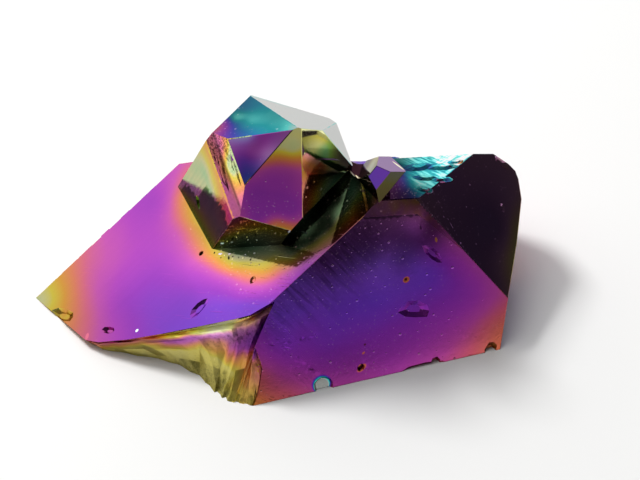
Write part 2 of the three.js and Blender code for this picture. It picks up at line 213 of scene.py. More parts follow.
# How thick the film lies at a few marks on each face: along and across the face in millimetres,
# then the thickness. Between the marks it changes smoothly.
FILM_MARKS = {
    "upper": [
        (-24.5, 14.9, 0.03), (-22.7, 13.6, 0.12), (-21.6, 10.9, 0.27), (-18.8, 12.6, 0.36),
        (-16.2, 12.2, 0.41), (-13.9, 11.7, 0.46), (-10.8, 12.2, 0.49), (-8.6, 13.4, 0.49),
        (-6.9, 13.9, 0.42), (-6.3, 12, 0.2), (-7.1, 11.7, 0.26), (-7, 9, 0.14), (-8, 8.8, 0.27),
        (-6.8, 6, 0.1), (-7.9, 6, 0.21), (-7.4, 3.9, 0.12), (-6.7, 1.6, 0.09), (-5.2, -0.6, 0.11),
        (-4.3, -2, 0.14), (-3.2, -2.9, 0.22), (-10, 7.1, 0.42), (-8.9, 3.3, 0.38),
        (-7.9, 0.9, 0.36), (-6.8, -1.5, 0.36), (-5.1, -3.7, 0.42), (-12.6, 8.2, 0.52),
        (-11.5, 2.9, 0.58), (-9.9, -1.3, 0.65), (-7.3, -3.8, 0.63), (-12.5, -0.7, 0.66),
        (-15.3, 3.4, 0.63), (-18.2, 7.4, 0.54), (-20.7, 7.9, 0.39), (-20.4, 4.4, 0.49),
        (-22.8, 8.2, 0.3), (-5.8, 2.6, 0.025), (-3.7, 0.2, 0.025), (-1.6, -1.8, 0.02),
        (-1.4, -2.9, 0.04), (0.4, -3.1, 0.02), (-1, -3.9, 0.3), (1.5, -4.8, 0.32), (3.6, -5, 0.3),
        (2.4, -3.3, 0), (4.6, -2.9, 0), (1.5, -0.5, 0), (5, -1, 0), (6.6, -2.2, 0), (7.9, -1.7, 0),
        (8.1, -3.9, 0.2), (10, 4, 0.3), (-2, 16, 0.4), (4, 14, 0.6),
    ],
    "front": [
        (-14.7, -3.1, 0.18), (-12.3, -2.8, 0.3), (-11.6, -1, 0.33), (-10.5, -4.1, 0.36),
        (-8.8, -0.6, 0.57), (-6, -0.5, 0.62), (-6.4, 2.8, 0.66), (-1.7, -0.3, 0.66),
        (-5.3, -4.4, 0.58), (-5.4, -7.7, 0.45), (-0.3, -6.6, 0.59), (-1, -10.6, 0.46),
        (4.7, -8.7, 0.57), (3.4, -13.9, 0.37), (6.2, -13.6, 0.37), (6.6, -16.4, 0.26),
        (9, -14.9, 0.29), (10.4, -13, 0.38), (8.9, -10.3, 0.52), (8.2, -6.2, 0.62),
        (7.4, -2.3, 0.63), (4.4, -1, 0.66), (2.3, 1.3, 0.65), (5.7, 3.7, 0.5), (9.4, 0.2, 0.46),
        (10.3, -2, 0.46), (-2.4, 3.6, 0.66), (0.5, 3.4, 0.6), (8.8, 3.4, 0.34), (10.4, 1.1, 0.33),
        (7.6, 4.6, 0.36), (11.3, -4.5, 0.4), (11.5, -8, 0.4),
    ],
    "dark tip": [
        (6.7, -0.6, 0.5), (11.4, -2.6, 0.42), (14.3, -5.8, 0.4), (13.1, -9.2, 0.36),
        (9, -9.2, 0.56), (5.2, -6.5, 0.57), (4, -12.2, 0.4), (7.5, -12.6, 0.1), (10.6, -11, 0.14),
        (2, -9, 0.6), (-2, -8, 0.6), (5, -0.5, 0.42),
    ],
    "top tip": [
        (7.1, -1.4, 0.86), (9.1, -2, 0.91), (11.3, -2.5, 0.96), (13.2, -3.4, 0.97),
        (14.6, -3.6, 0.95), (6.7, -3.8, 0.89), (8.5, -3.8, 0.92), (11, -3.8, 0.93),
        (5.2, -4.8, 0.68), (6.3, -5.2, 0.88), (7.5, -5.8, 0.9), (2.3, -5, 0.34), (3.6, -5.4, 0.5),
        (1.1, -5.3, 0.33), (2.9, 1, 0.34), (2, -1, 0.33), (5, -1.4, 0.36), (6, -0.6, 0.8),
        (4.6, -3.2, 0.4),
    ],
    "back tip": [
        (0, -6, 0.6), (6, -6, 0.72), (10, -9, 0.84), (4, -12, 0.5), (-3, -12, 0.4), (-6, -8, 0.66),
        (12, -3, 0.9), (-8, 0, 0.35),
    ],
    "back step": [(-10, 0, 0.3), (-6, 4, 0.45), (-12, 6, 0.2), (0, 0, 0.55)],
    "far tip": [(0, 0, 0.62), (8, -4, 0.42), (8, 4, 0.72), (14, 0, 0.24)],
    "back side": [
        (-26, 0, 0.1), (-20, 4, 0.36), (-14, 4, 0.56), (-8, 4, 0.68), (-2, 4, 0.5), (2, 6, 0.28),
        (-14, 9, 0.42), (-14, -1, 0.4),
    ],
    "window": [
        (8.6, 2, 0.03), (8, 1.9, 0.04), (6.6, 1.3, 0.06), (7.1, 3, 0.03), (5.6, 4.1, 0.06),
        (5.9, 2.3, 0.06), (4.6, 4.6, 0.14), (5.3, 2.6, 0.17), (5.5, 1.2, 0.2), (4.9, 1, 0.31),
        (4.6, 2.4, 0.32), (3.8, 3.9, 0.36), (3.6, 1.5, 0.44), (1, 4.7, 0.5), (1.6, 2.9, 0.5),
        (2.3, 0.6, 0.46), (-1.6, 4.3, 0.45), (-0.7, 2.1, 0.52), (-0.7, 0.2, 0.45),
        (-1.7, 1.2, 0.24), (-1.7, -0.4, 0.2), (-1.9, 3, 0.5),
    ],
    "left tip": [
        (2.2, 3.1, 0.73), (1.5, 3, 0.68), (3.3, 2.6, 0.5), (4, 1.8, 0.5), (5.7, 1.4, 0.5),
        (0.8, 3.8, 0.76), (0.8, 2.9, 0.6), (1.6, 1.9, 0.48), (2.8, 1.3, 0.48), (0.7, 1.3, 0.64),
        (1.1, 0, 0.72), (0.5, -0.8, 0.78), (1.3, -0.9, 0.74), (2.2, 0.4, 0.62), (-1, 3, 0.5),
        (-1, 1, 0.6),
    ],
    "teal tip": [
        (-2, 1.3, 0.86), (-2.2, 0.3, 0.88), (0, -0.8, 0.92), (0.5, 0.5, 0.9), (2.3, -0.2, 0.915),
        (5.1, -0.9, 0.92), (7, -1.1, 0.97), (-1, -1.3, 0.87), (-4, 3, 0.86), (-3.4, -2.5, 0.34),
        (-3, -2, 0.38), (-1, -2.6, 0.74), (0.6, -2.4, 0.84), (-3, -0.9, 0.83), (-2.2, -1.3, 0.84),
        (-3.2, 0.6, 0.86),
    ],
    "mirror tip": [
        (8.7, 0.1, 0.03), (7.7, -1.4, 0.03), (6.7, -2.6, 0.03), (7.5, 0.6, 0.04), (6.7, -1, 0.03),
        (5.5, -2.5, 0.01), (5.5, 1.4, 0.08), (3.5, 1.6, 0.2), (1.9, 2.7, 0.22), (0.6, 3.5, 0.24),
        (4.7, -0.3, 0.02), (2.7, -1.1, 0), (1.6, 1.2, 0.04), (0, -2.6, 0),
    ],
    "pale right": [(2, -2, 1), (-1, 0, 1), (-4, 0, 0.95), (-5, 3, 0.8)],
    "pale back": [(0, -4, 1), (0, 0, 1), (-3, 2, 0.99), (-5, -3, 0.92)],
    "foot left": [
        (-6.9, 5.6, 0.027), (-4.6, 5.7, 0.03), (-4.7, 4.1, 0.027), (-0.7, 4, 0.03),
        (1.4, 4.7, 0.16), (-3, 2.2, 0.027), (-1.7, 0.6, 0.02), (-8, 3.2, 0.015), (-5.8, 1.7, 0.015),
        (-3.5, -0.4, 0.015), (0.6, 1.4, 0.12), (1, -0.4, 0.2), (0.6, -1.4, 0.24), (-3, -2.5, 0.015),
        (1.2, -2.6, 0.3), (-6, -3, 0.015),
    ],
    "foot front": [
        (0.2, 8.3, 0.1), (3.5, -0.7, 0.15), (0.4, 6, 0.1), (0.8, 1.2, 0.04), (-1.7, 6.2, 0.03),
        (-1.7, 4.7, 0.03), (-1.1, 2.8, 0.02), (-2, 0.8, 0.01), (-4.4, 5.5, 0), (-4.2, 3, 0),
        (-4.4, 0.8, 0), (-6.3, 3.5, 0),
    ],
    "foot right": [(2.2, 5.3, 0.02), (-2, 3, 0.03), (-6, 2, 0.1), (0, -3, 0.03)],
    "foot back right": [(0, 0, 0.3), (-6, 0, 0.5), (-10, 0, 0.2)],
    "foot back": [(2, 0, 0.96), (-2, 0, 0.9), (-7, 0, 0.7), (-12, 0, 0.52), (-15, 0, 0.3)],
    "foot back left": [(0, 0, 0.04), (-6, 0, 0.2), (-10, 0, 0.46)],
    "tiny roof": [(2.6, -0.4, 0.03), (0.5, 0, 0.1)],
    "tiny left roof": [(0, 0, 0.62), (2, 0, 0.61)],
    "tiny blue": [(0, 0, 0.68), (2, 1, 0.66)],
    "tiny side 3": [(0, 0, 0.03)],
    "tiny side 4": [(-2.3, 0.4, 0.33), (-1.4, 0.4, 0.3), (0, 0, 0.03), (1.5, 0, 0.03)],
    "tiny side 5": [(0, 0, 0.3), (1.5, -0.8, 0.6)],
}

# The same on the growth step, by place on the foot's left face.
STEP_MARKS = [
    (2.2, 5.2, 0.3), (2.8, 4.8, 0.33), (2.1, 4, 0.26), (2.3, 2.5, 0.27), (2.4, 0.6, 0.3),
    (2.4, -1.3, 0.34), (3.4, 3.6, 0.3), (3.9, 2.6, 0.06), (3.3, 2.2, 0.05), (3.5, 0.8, 0.05),
    (4.2, 0.6, 0.04), (3.6, -0.8, 0.2), (3.9, -1.4, 0.28), (2.6, -2.6, 0.35), (4.6, 3, 0.02),
]

# The same on the broken end, by its place along the cluster and its depth below the upper face.
BREAK_MARKS = [
    (-26, 0.8, 0.14), (-23.1, 1.2, 0.14), (-22.3, 0.6, 0.26), (-21.5, 1.4, 0.07), (-20.4, 0.9, 0.2),
    (-19.4, 1.6, 0.04), (-17.2, 1.8, 0.1), (-17.1, 0.3, 0.22), (-15.2, 2.7, 0.07),
    (-13.2, 3.8, 0.03), (-12.1, 2.4, 0.12), (-15.5, 0.7, 0.1), (-14, 0.7, 0.05), (-11, 0.75, 0.04),
    (-9.3, 0.7, 0.03), (-7.9, 0.5, 0.05), (-15.5, 1.3, 0.42), (-13, 1.3, 0.45), (-11, 1.3, 0.4),
    (-9.5, 1.2, 0.38), (-10, 2, 0.27), (-7.9, 1.6, 0.42), (-7.5, 2.5, 0.5), (-5.9, 1.8, 0.58),
    (-10.5, 3.4, 0.02), (-8.5, 3.1, 0.2), (-8.3, 4, 0.1), (-9.6, 4.4, 0.06), (-8.5, 5, 0.08),
    (-7, 5.4, 0.12), (-6.6, 4.2, 0.24), (-6.3, 3.2, 0.27), (-5.7, 0.8, 0.3),
]
BREAK_STRETCH = 3.0  # how much faster the marks change with depth than along the cluster
BREAK_THINNEST = 0.06  # the thinnest that the film is there

# The tone and the depth of the break's colour, as under `FACE_FINISH`, by the same places. The
# tones are painted light: a painted highlight along the ledge just below the upper face's rim, and
# painted shade where they are low.
BREAK_TONES = [
    (-24, 1, 0.75), (-19, 1.6, 0.78), (-15, 2.6, 0.78), (-12, 3, 0.85), (-15, 0.65, 1.2),
    (-11, 0.8, 1.8), (-8.7, 0.65, 1.6), (-13, 1.35, 0.9), (-10, 1.6, 0.8), (-7.9, 1.7, 0.45),
    (-7.3, 1.2, 0.45), (-7.4, 2.5, 0.7), (-5.9, 1.8, 0.5), (-9.8, 2.1, 0.85), (-8.4, 3.6, 1.2),
    (-9.7, 4.4, 0.7), (-8.6, 5.2, 1), (-7.2, 5, 1.1), (-6.7, 3.9, 0.9), (-5.9, 3.6, 0.5),
    (-5.8, 0.8, 0.4),
]
BREAK_DEPTHS = [
    (-24, 1, 0.9), (-15, 2.6, 0.85), (-13, 0.8, 0.7), (-10.5, 0.82, 0.4), (-8.7, 0.7, 0.5),
    (-10.5, 2.5, 0.85), (-8, 5, 0.85), (-7, 2.5, 1),
]

# How crumbly the break is, from 0, smooth, to 1.
BREAK_CRUMBS = [
    (-24, 1, 0.1), (-19, 1.6, 0.05), (-15, 2.6, 0.05), (-12, 2.8, 0.15), (-15, 0.65, 0.1),
    (-11, 0.7, 0.1), (-8.5, 0.7, 0.1), (-13, 1.35, 0.3), (-10, 1.6, 0.4), (-7.9, 1.7, 0.5),
    (-7.2, 2.6, 0.3), (-6.2, 1.4, 0.4), (-9.6, 3.2, 0.05), (-8.4, 3.6, 0), (-10, 4.2, 0.4),
    (-9.6, 5.2, 0.5), (-8, 4.4, 0.05), (-7.6, 4.8, 0.05), (-6.6, 3.8, 0.15), (-5.7, 3.4, 0.7),
]

# What each face's film is like beside its thickness, as one number for the whole face or as marks:
#   tone     multiplies its colour, and holds painted reflections, painted shade and highlights
#   depth    over 1 makes the colour darker and richer, under 1 paler
#   shade    1 where the tone is cut off in a ragged line: a painted dark reflection
#   groove   fine lines along the crystal, and stria fine lines across it
#   scratch  thin slanting scratches
#   streak   growth streaks that fan out from a corner, with painted highlights and dark reflections
#   dust     how many specks of dust sit on it
#   satin    how much duller than a mirror it is
FACE_FINISH = {
    "upper": dict(
        depth=[
            (-22, 11, 1.05), (-14, 3, 1.05), (-9, 9, 1.05), (-7.5, 3, 1.05), (-6, -2, 1.05),
            (-3.4, -4, 1), (0.5, -5.6, 0.9), (-4.9, 1.6, 0.6), (-3.4, -0.3, 0.5), (-1.6, -2.2, 0.5),
            (1, -3.2, 0.5), (3.7, -3.3, 0.5), (6.2, -2.1, 0.4), (7.8, -2.3, 0.4), (0, -1, 0.5),
            (3, 0, 0.5), (6, -5, 0.9), (0, 14, 1.05), (-4.6, -1.2, 1), (-6.2, 0.8, 1),
            (-3.6, -2.2, 0.95),
        ],
        # Painted reflections: near black where the face mirrors the dark foot of the upright
        # crystal, with painted highlights over 1.
        tone=[
            (-24, 13.5, 0.8), (-20.7, 7.9, 0.8), (-16, 8, 1.05), (-12, 2, 1.05), (-9, 9, 1),
            (-7.2, 3.5, 1), (-6.8, 1.7, 1), (-5.3, -0.5, 0.95), (-4.4, -1.7, 0.95),
            (-3.6, -3.2, 0.9), (-6.1, 3, 0.35), (-5.6, 2.3, 0.25), (-4.6, 0.9, 0.28),
            (-3.7, -0.2, 0.38), (-2.5, -1.2, 0.36), (-3.8, 1.1, 0.2), (-1.4, -1.4, 0.05),
            (-1.1, -2.1, 0.04), (0, -1.9, 0.02), (-1.6, -2.6, 0.3), (-1.9, -3.6, 0.5),
            (-0.5, -3, 0.1), (0.2, -2.6, 0.03), (0.9, -3.3, 0.035), (1.9, -3.4, 0.06),
            (2.9, -3.5, 0.07), (3.7, -3.6, 0.1), (0.8, -4.6, 0.4), (3.6, -4.9, 0.5),
            (2.4, -2.2, 0.03), (4, -2.3, 0.03), (5, -1.9, 0.03), (6.1, -1.4, 0.06),
            (4.8, -3.8, 0.8), (6.1, -3.1, 1.1), (6.2, -2.1, 0.25), (7.2, -2.6, 1.2),
            (7.7, -2.2, 0.6), (8.2, -2.9, 0.05), (7.6, -3.8, 0.1), (7.6, -1, 0.3), (8.4, -3.8, 0.4),
            (1, -1, 0.3), (0, 14, 1), (-8, -4, 1.05),
        ],
        groove=0.08,
        scratch=[
            (-24, 12, 0.1), (-16, 5, 0.25), (-9, 6, 0.3), (-8.5, -0.5, 1), (-5.5, -2.5, 1),
            (-12, 0.5, 0.8), (0, 0, 0.1),
        ],
        dust=[
            (-22, 10, 0.01), (-14, 6, 0.02), (-9, 3, 0.06), (-7, -1.5, 0.5), (-5, -3.5, 0.6),
            (-6.5, 2.2, 0.9), (-5.2, 0.5, 0.7), (0, -4, 0.3), (4, -4.5, 0.4), (-8, 12, 0.02),
        ],
    ),
    "front": dict(
        depth=[
            (-14, -3, 1.3), (-5, -8, 1.3), (9, -14, 1.3), (4, -9, 1.3), (-8, -0.6, 1.3),
            (0, -3, 1.3), (8.4, -6, 1.3), (7.4, -2.3, 1), (5, 1.5, 0.85), (2, 2.4, 0.9),
            (9.5, 1, 0.8), (7.8, 3, 0.7),
        ],
        # Painted reflections: darker where the face mirrors the dim room, brighter where it mirrors
        # the pale floor.
        tone=[
            (-14.7, -3.1, 0.55), (-12.3, -2.8, 0.5), (-10.5, -4.1, 0.55), (-5.4, -7.7, 0.55),
            (-1.7, -5, 0.95), (-8, -0.6, 1), (4.7, -7.1, 1), (8.2, -6.2, 1.15), (-1.7, -0.3, 0.95),
            (4.4, -1, 1), (9, -14, 0.85), (9.8, -0.6, 1), (8.9, 3.5, 0.5), (10.4, 1.1, 0.5),
            (11.2, -4, 0.7), (-1.4, 4.7, 0.45), (5.2, 2.3, 0.25), (2.5, 2.4, 0.27),
            (6.4, 1.8, 0.35), (5.2, 5.4, 0.35), (4.4, -0.8, 0.75), (6.5, -0.9, 0.55),
            (8.2, -0.6, 0.5), (1.4, -0.2, 0.75), (0.2, 2.6, 0.33), (8.2, -4.8, 1.05),
            (7.4, -2.3, 0.5), (8.8, -2.2, 0.42), (9.5, -3.3, 0.42), (10.4, -1.1, 0.45),
            (5.9, -2.5, 0.65), (2.3, 1.3, 0.42), (6.6, -3.8, 0.95),
        ],
        stria=[
            (-1.4, 4.7, 0.9), (-1.7, 1.3, 0.8), (1.4, 1, 0.8), (-0.7, -1.6, 0.2), (-5, 2, 0.6),
            (-8, -3, 0), (0, -5, 0), (6, -6, 0), (9, 1, 0), (4.5, -2, 0.1), (5.5, 3, 0.4),
        ],
        dust=[
            (5.2, 5.4, 0.85), (5.2, 2.3, 0.85), (6.6, 1.6, 0.8), (2, 1.5, 0.6), (-2, -1, 0.3),
            (5.1, -4.4, 0.25), (-4, -6, 0.3), (3, -9, 0.25), (10, -8, 0.12), (-10, -3, 0.12),
            (10, 0, 0.35), (7, -13, 0.1),
        ],
    ),
    "dark tip": dict(
        depth=0.45,
        # Painted dark reflection of the dim room on the right: a low tone over the whole face.
        tone=[
            (6.7, -0.6, 0.36), (11.4, -2.6, 0.4), (9, -9, 0.3), (4, -12, 0.34), (7.5, -12.6, 0.6),
            (10.6, -11, 0.5),
        ],
        dust=[(4.5, -1, 0.3), (8, -2, 0.16), (9, -8, 0.05), (12, -5, 0.1)],
    ),
    "top tip": dict(
        depth=0.85,
        # Painted light: dark where the face mirrors the tiny crystal beside it, and painted
        # highlights along the ripples towards its far corner.
        tone=[
            (2.9, 1, 0.04), (2, -1, 0.05), (4.8, -1.2, 0.08), (2.7, -5.2, 0.05), (4.9, -4.6, 0.08),
            (6.1, -5.1, 0.16), (6.7, -3.8, 0.42), (5.6, -0.6, 0.14), (6.9, -0.8, 0.12),
            (7.2, -1.7, 0.16), (8.9, -2.5, 1), (11.3, -2.5, 1.5), (13.2, -3.4, 1.6),
            (8.8, -5.4, 0.8), (8.5, -3.8, 1), (11.8, -4.4, 1.5),
        ],
        streak=[
            (4.5, -1, 0), (5.8, -4.8, 0.1), (7, -2.4, 0.5), (8.5, -4.5, 0.6), (10, -3, 0.9),
            (11.5, -3.5, 1.8), (14, -3.5, 1.9),
        ],
        dust=[(4, -3, 0.3), (6, -4.6, 0.8), (8, -3, 0), (12, -3, 0)],
    ),
    "window": dict(
        depth=1.22,
        tone=[(8, 2, 0.7), (6, 3, 0.55), (4.6, 2.8, 0.4), (0, 2.5, 0.42)],
        dust=[(6, 3, 0.03), (2, 3, 0.04), (-1.5, 2, 0.5), (-0.6, 0.3, 0.3)],
    ),
    "left tip": dict(
        depth=[
            (0.8, 3.7, 0.4), (2.2, 3.1, 0.45), (1.5, 2.3, 0.9), (3.2, 2.2, 1.1), (1, 0, 1),
            (3.2, 1.1, 0.65),
        ],
        tone=[
            (0.6, 3.8, 0.9), (2.2, 3.1, 0.8), (2.6, 2.2, 0.6), (1, 0, 0.55), (5, 1.4, 0.6),
            (3.2, 1.1, 0.8),
        ],
    ),
    "teal tip": dict(
        depth=1.1,
        tone=[
            (-2.4, -0.4, 0.5), (0, 0, 0.7), (3, 0, 0.62), (-2, 1.3, 0.55), (2.3, -2.6, 1),
            (0.5, -2.5, 0.8),
        ],
        dust=[(-3, -2.2, 0.9), (-1.5, -1, 0.05), (2, 0, 0.02)],
    ),
    "mirror tip": dict(
        depth=[
            (8, 0, 0.9), (6, -2, 0.9), (6.7, 0.8, 0.9), (5.4, 1, 1.3), (4.6, 1.6, 1.2),
            (3, 2.5, 0.9), (2, 0, 0.6), (1, 2.5, 0.6),
        ],
        groove=0.05,
        # Painted reflection: the tone is over 1 where the face mirrors bright light, and lower
        # where it mirrors the crystals beside it.
        tone=[
            (8.7, 0.1, 1.6), (7.7, -1.4, 1.6), (6.7, -2.6, 1.3), (7.5, 0.6, 1.6), (6.4, -0.6, 1.6),
            (6.6, 0.9, 1.6), (6.1, 1.5, 0.8), (5.4, 0.9, 0.35), (3.8, 1.9, 0.6), (4.6, 1.4, 0.4),
            (3.4, 0.9, 0.5), (2.1, 2.7, 0.8), (1.4, 1.6, 0.5), (4.7, -0.5, 0.5), (2.1, -1.8, 0.5),
            (0, -2.6, 0.7), (5, -2.4, 1.4), (1, 3.4, 0.9),
        ],
        dust=[(8, 0, 0), (3.4, 1.8, 0.5), (1.5, 2.8, 0.6), (3, -1, 0.02)],
    ),
    "pale right": dict(depth=0.9, tone=0.97),
    "pale back": dict(depth=0.9, tone=1.0),
    "foot left": dict(
        depth=1.0,
        tone=[(-4.6, 5.7, 0.82), (-1.2, 3.6, 0.85), (0.8, 0.5, 0.95), (-5.5, 0, 0.9)],
        # Painted dark reflection over the lower part of the face, cut off in a ragged line.
        shade=[
            (-6.9, 5.6, 0), (-4.6, 5.7, 0), (-3.4, 3.5, 0.12), (-1.2, 3.6, 0), (0.6, 1.2, 0),
            (1.2, -1.5, 0), (-8.8, 5.4, 0.4), (-5.2, 3.4, 0.1), (-1.7, 1.2, 0.48), (-0.2, -2, 0.5),
            (-7.5, 3.2, 1), (-8.1, 1.5, 1), (-5.8, 0.5, 1), (-3.2, 1, 1), (-7.3, -1.1, 1),
            (-5.2, -3.6, 1), (-2.6, -1.6, 1), (-1.5, -3.2, 1), (0.9, -3.2, 0),
        ],
        groove=[
            (-4.6, 5.7, 0.12), (-1.2, 3.6, 0.12), (0.8, 0, 0.3), (-5.8, 1.5, 0.8), (-4, -1.5, 0.9),
        ],
    ),
    "foot front": dict(
        depth=0.5,
        tone=[(3.5, -0.7, 0.8), (0.5, 5, 1), (-1.5, 3, 1.15), (-4.2, 3, 1.1)],
        dust=[(0, 4, 0.06), (-3, 4, 0.06), (-4.6, 4, 0.2), (3, -0.6, 0.2)],
    ),
    "foot right": dict(depth=0.5, tone=0.7),
    "tiny roof": dict(depth=0.6, tone=0.1),
    "tiny left roof": dict(depth=0.27, tone=0.5),
    "tiny blue": dict(depth=1.05, tone=0.5),
    "tiny side 4": dict(
        depth=0.6, tone=[(-2.3, 0.4, 0.08), (-0.8, 0.8, 0.12), (0.9, 0.5, 0.6), (2.3, 0.1, 0.35)]
    ),
    "tiny side 5": dict(depth=0.5, tone=[(0, 0, 0.3), (1.5, -0.8, 1.2)]),
}

# What a face's film is like where `FACE_FINISH` says nothing, and how thick it is where
# `FILM_MARKS` says nothing.
PLAIN_FINISH = dict(
    tone=1.0, depth=1.1, shade=0.0, groove=0.0, stria=0.0, scratch=0.0, streak=0.0, dust=0.02,
    satin=0.0,
)
PLAIN_FILM = 0.35

# How much duller than a mirror the chips are, the chips on two of the faces, the growth step and
# the break.
CHIP_SATIN = 0.15
CHIP_SATIN_ON = {"front": 0.3, "top tip": 0.5}
STEP_SATIN = 0.12
BREAK_SATIN = 0.36

# Along the foot's left face, in millimetres: where the step's riser begins, and the painted shade
# line there with its half width.
STEP_RISER = 2.9
STEP_LINE, STEP_LINE_WIDTH = 2.95, 0.3

# Single small marks on the faces: the face, the place on it, the half length and the half width
# in millimetres, the heading in degrees, and the film's thickness and tone there. Some are pits,
# rings and crumbs; others are painted highlights along edges. A tone over `GLINT` is a painted
# glint, which also takes the pale colour of bare quartz and scatters light.
GLINT = 1.15
SPOTS = [
    ("front", (5.1, -4.4), 0.40, 0.34, 0, 0.22, 0.75),
    ("front", (5.1, -4.4), 0.12, 0.11, 0, 0.3, 0.1),
    ("front", (-4.3, -8.3), 0.62, 0.34, 0, 0.24, 0.75),
    ("front", (-4.4, -8.3), 0.36, 0.17, 8, 0.3, 0.04),
    ("front", (-3.1, -7.2), 0.20, 0.12, 0, 0.24, 0.7),
    ("front", (-2.4, -6.6), 0.14, 0.10, 0, 0.3, 0.1),
    ("front", (-8.3, -6.6), 1.05, 1.05, 0, 0.92, 0.9),
    ("front", (-8.45, -6.75), 0.88, 0.88, 0, 1.0, 0.5),
    ("front", (10.0, -3.4), 0.30, 0.14, 60, 0.2, 0.7),
    ("front", (7.6, 4.2), 0.34, 0.22, 0, 0.06, 0.6),
    ("upper", (-18.4, 3.5), 0.22, 0.16, 0, 1.0, 1.3),
    ("upper", (-22.9, 7.3), 0.40, 0.20, 40, 0.31, 1.1),
    ("upper", (-8.4, 5.1), 0.26, 0.22, 0, 0.2, 0.05),
    # Painted glints, and dark crumbs, where the upright crystal stands on the stout one.
    ("upper", (-6.9, 3.4), 0.24, 0.10, -45, 1.0, 1.4),
    ("upper", (-6.2, 2.6), 0.15, 0.08, -45, 1.0, 1.3),
    ("upper", (-5.0, 1.2), 0.10, 0.07, 0, 1.0, 1.2),
    # Painted highlights along an edge.
    ("upper", (8.4, -0.55), 0.5, 0.09, 90, 0.03, 1.3),
    ("top tip", (2.1, -1.3), 0.5, 0.09, 90, 0.03, 1.3),
    ("upper", (-4.2, 0.55), 0.12, 0.08, 0, 1.0, 1.2),
    ("upper", (-7.3, 4.0), 0.14, 0.08, 30, 0.05, 0.05),
    ("upper", (-6.5, 2.3), 0.22, 0.12, 60, 0.05, 0.05),
    ("upper", (-4.9, 0.3), 0.16, 0.10, 20, 0.05, 0.08),
    ("upper", (-7.1, 3.0), 0.10, 0.06, 10, 0.05, 0.05),
    ("upper", (-6.7, 2.9), 0.08, 0.06, 70, 0.07, 1.3),
    ("upper", (-6.3, 1.9), 0.10, 0.06, 20, 0.07, 1.3),
    ("upper", (-6.1, 2.1), 0.12, 0.06, -20, 0.05, 0.05),
    ("upper", (-5.7, 1.5), 0.10, 0.06, 50, 0.05, 0.05),
    ("upper", (-5.4, 1.1), 0.09, 0.06, 0, 0.07, 1.3),
    # Painted glints on the upright crystal's foot, and a painted gold highlight along an edge of
    # the tiny crystal.
    ("foot front", (2.2, -0.4), 0.45, 0.10, 0, 0.97, 1.2),
    ("foot right", (0.5, 3.4), 0.40, 0.12, 0, 0.97, 1.2),
    ("tiny left roof", (2.0, 0.85), 0.9, 0.10, 28, 0.05, 1.1),
]

DUST_AND_GLINT_COLOUR = (0.34, 0.21, 0.25)  # the pale colour of bare quartz that the dust and the painted glints add
SHADE_TINT = (-0.5, 0.1, -0.85)  # what the ragged painted dark reflection takes from red, green and blue
EDGE_TINT = (0.7, 0.7, 0.7, 1.0)  # how much of its light the film keeps at a grazing angle
RELIEF = 0.00012  # how deep the relief of lines and dust is, in metres

SPREAD_SOFTNESS = 1.2  # how round the surface through the marks is at a mark, in millimetres
SPREAD_SLACK = 0.02  # how far it may pass beside a mark


def spread(marks, along, across):
    """The smooth surface through the marks, read at each place."""
    marks = np.array(marks, float)
    count = len(marks)

    def reach(a, b):
        apart = (a - marks[:, 0]) ** 2 + (b - marks[:, 1]) ** 2
        return np.sqrt(apart + SPREAD_SOFTNESS**2)

    system = np.ones((count + 1, count + 1))
    system[:count, :count] = reach(marks[:, :1], marks[:, 1:2]) - SPREAD_SLACK * np.eye(count)
    system[count, count] = 0
    wanted = np.append(marks[:, 2], 0)
    shares = np.linalg.solve(system, wanted)
    value = reach(along[:, None], across[:, None]) @ shares[:count] + shares[count]
    return np.clip(value, marks[:, 2].min(), marks[:, 2].max())


# ---------------------------------------------------------------------------------------------
# Mesh helpers
# ---------------------------------------------------------------------------------------------

MOST_ROUNDS = 9  # how often `refine` splits what is too long
FEW_EDGES = 150  # how many long edges it may leave


def points_of(mesh):
    """The place of every vertex."""
    flat = np.empty(len(mesh.vertices) * 3)
    mesh.vertices.foreach_get("co", flat)
    return flat.reshape(-1, 3)


def set_points(mesh, points):
    """Moves every vertex to its new place."""
    mesh.vertices.foreach_set("co", points.reshape(-1))
    mesh.update()


def ends_of(mesh):
    """The two vertex numbers of every edge."""
    flat = np.empty(len(mesh.edges) * 2, int)
    mesh.edges.foreach_get("vertices", flat)
    return flat.reshape(-1, 2)


def corners_of(mesh):
    """The vertex number at each of the three corners of every triangle."""
    flat = np.empty(len(mesh.loops), int)
    mesh.loops.foreach_get("vertex_index", flat)
    return flat.reshape(-1, 3)


def beside_edges(mesh):
    """The polygons on the two sides of every edge, by the edge's vertex numbers."""
    beside = {}
    for polygon in mesh.polygons:
        for key in polygon.edge_keys:
            beside.setdefault(key, []).append(polygon.index)
    return beside


def face_numbers(mesh):
    """The middle, the normal and the area of every polygon."""
    count = len(mesh.polygons)
    centres, normals, areas = np.empty(count * 3), np.empty(count * 3), np.empty(count)
    mesh.polygons.foreach_get("center", centres)
    mesh.polygons.foreach_get("normal", normals)
    mesh.polygons.foreach_get("area", areas)
    return centres.reshape(-1, 3), normals.reshape(-1, 3), areas


def select_edges(mesh, chosen):
    """Selects these edges alone, ready for an edit mode operator."""
    bpy.ops.object.mode_set(mode="EDIT")
    bpy.ops.mesh.select_mode(type="EDGE")
    bpy.ops.mesh.select_all(action="DESELECT")
    bpy.ops.object.mode_set(mode="OBJECT")
    mesh.edges.foreach_set("select", chosen)
    bpy.ops.object.mode_set(mode="EDIT")


def scale_all(factor):
    """Scales the whole mesh about the origin, in edit mode."""
    bpy.ops.mesh.select_all(action="SELECT")
    bpy.ops.transform.resize(value=(factor,) * 3, center_override=(0, 0, 0))


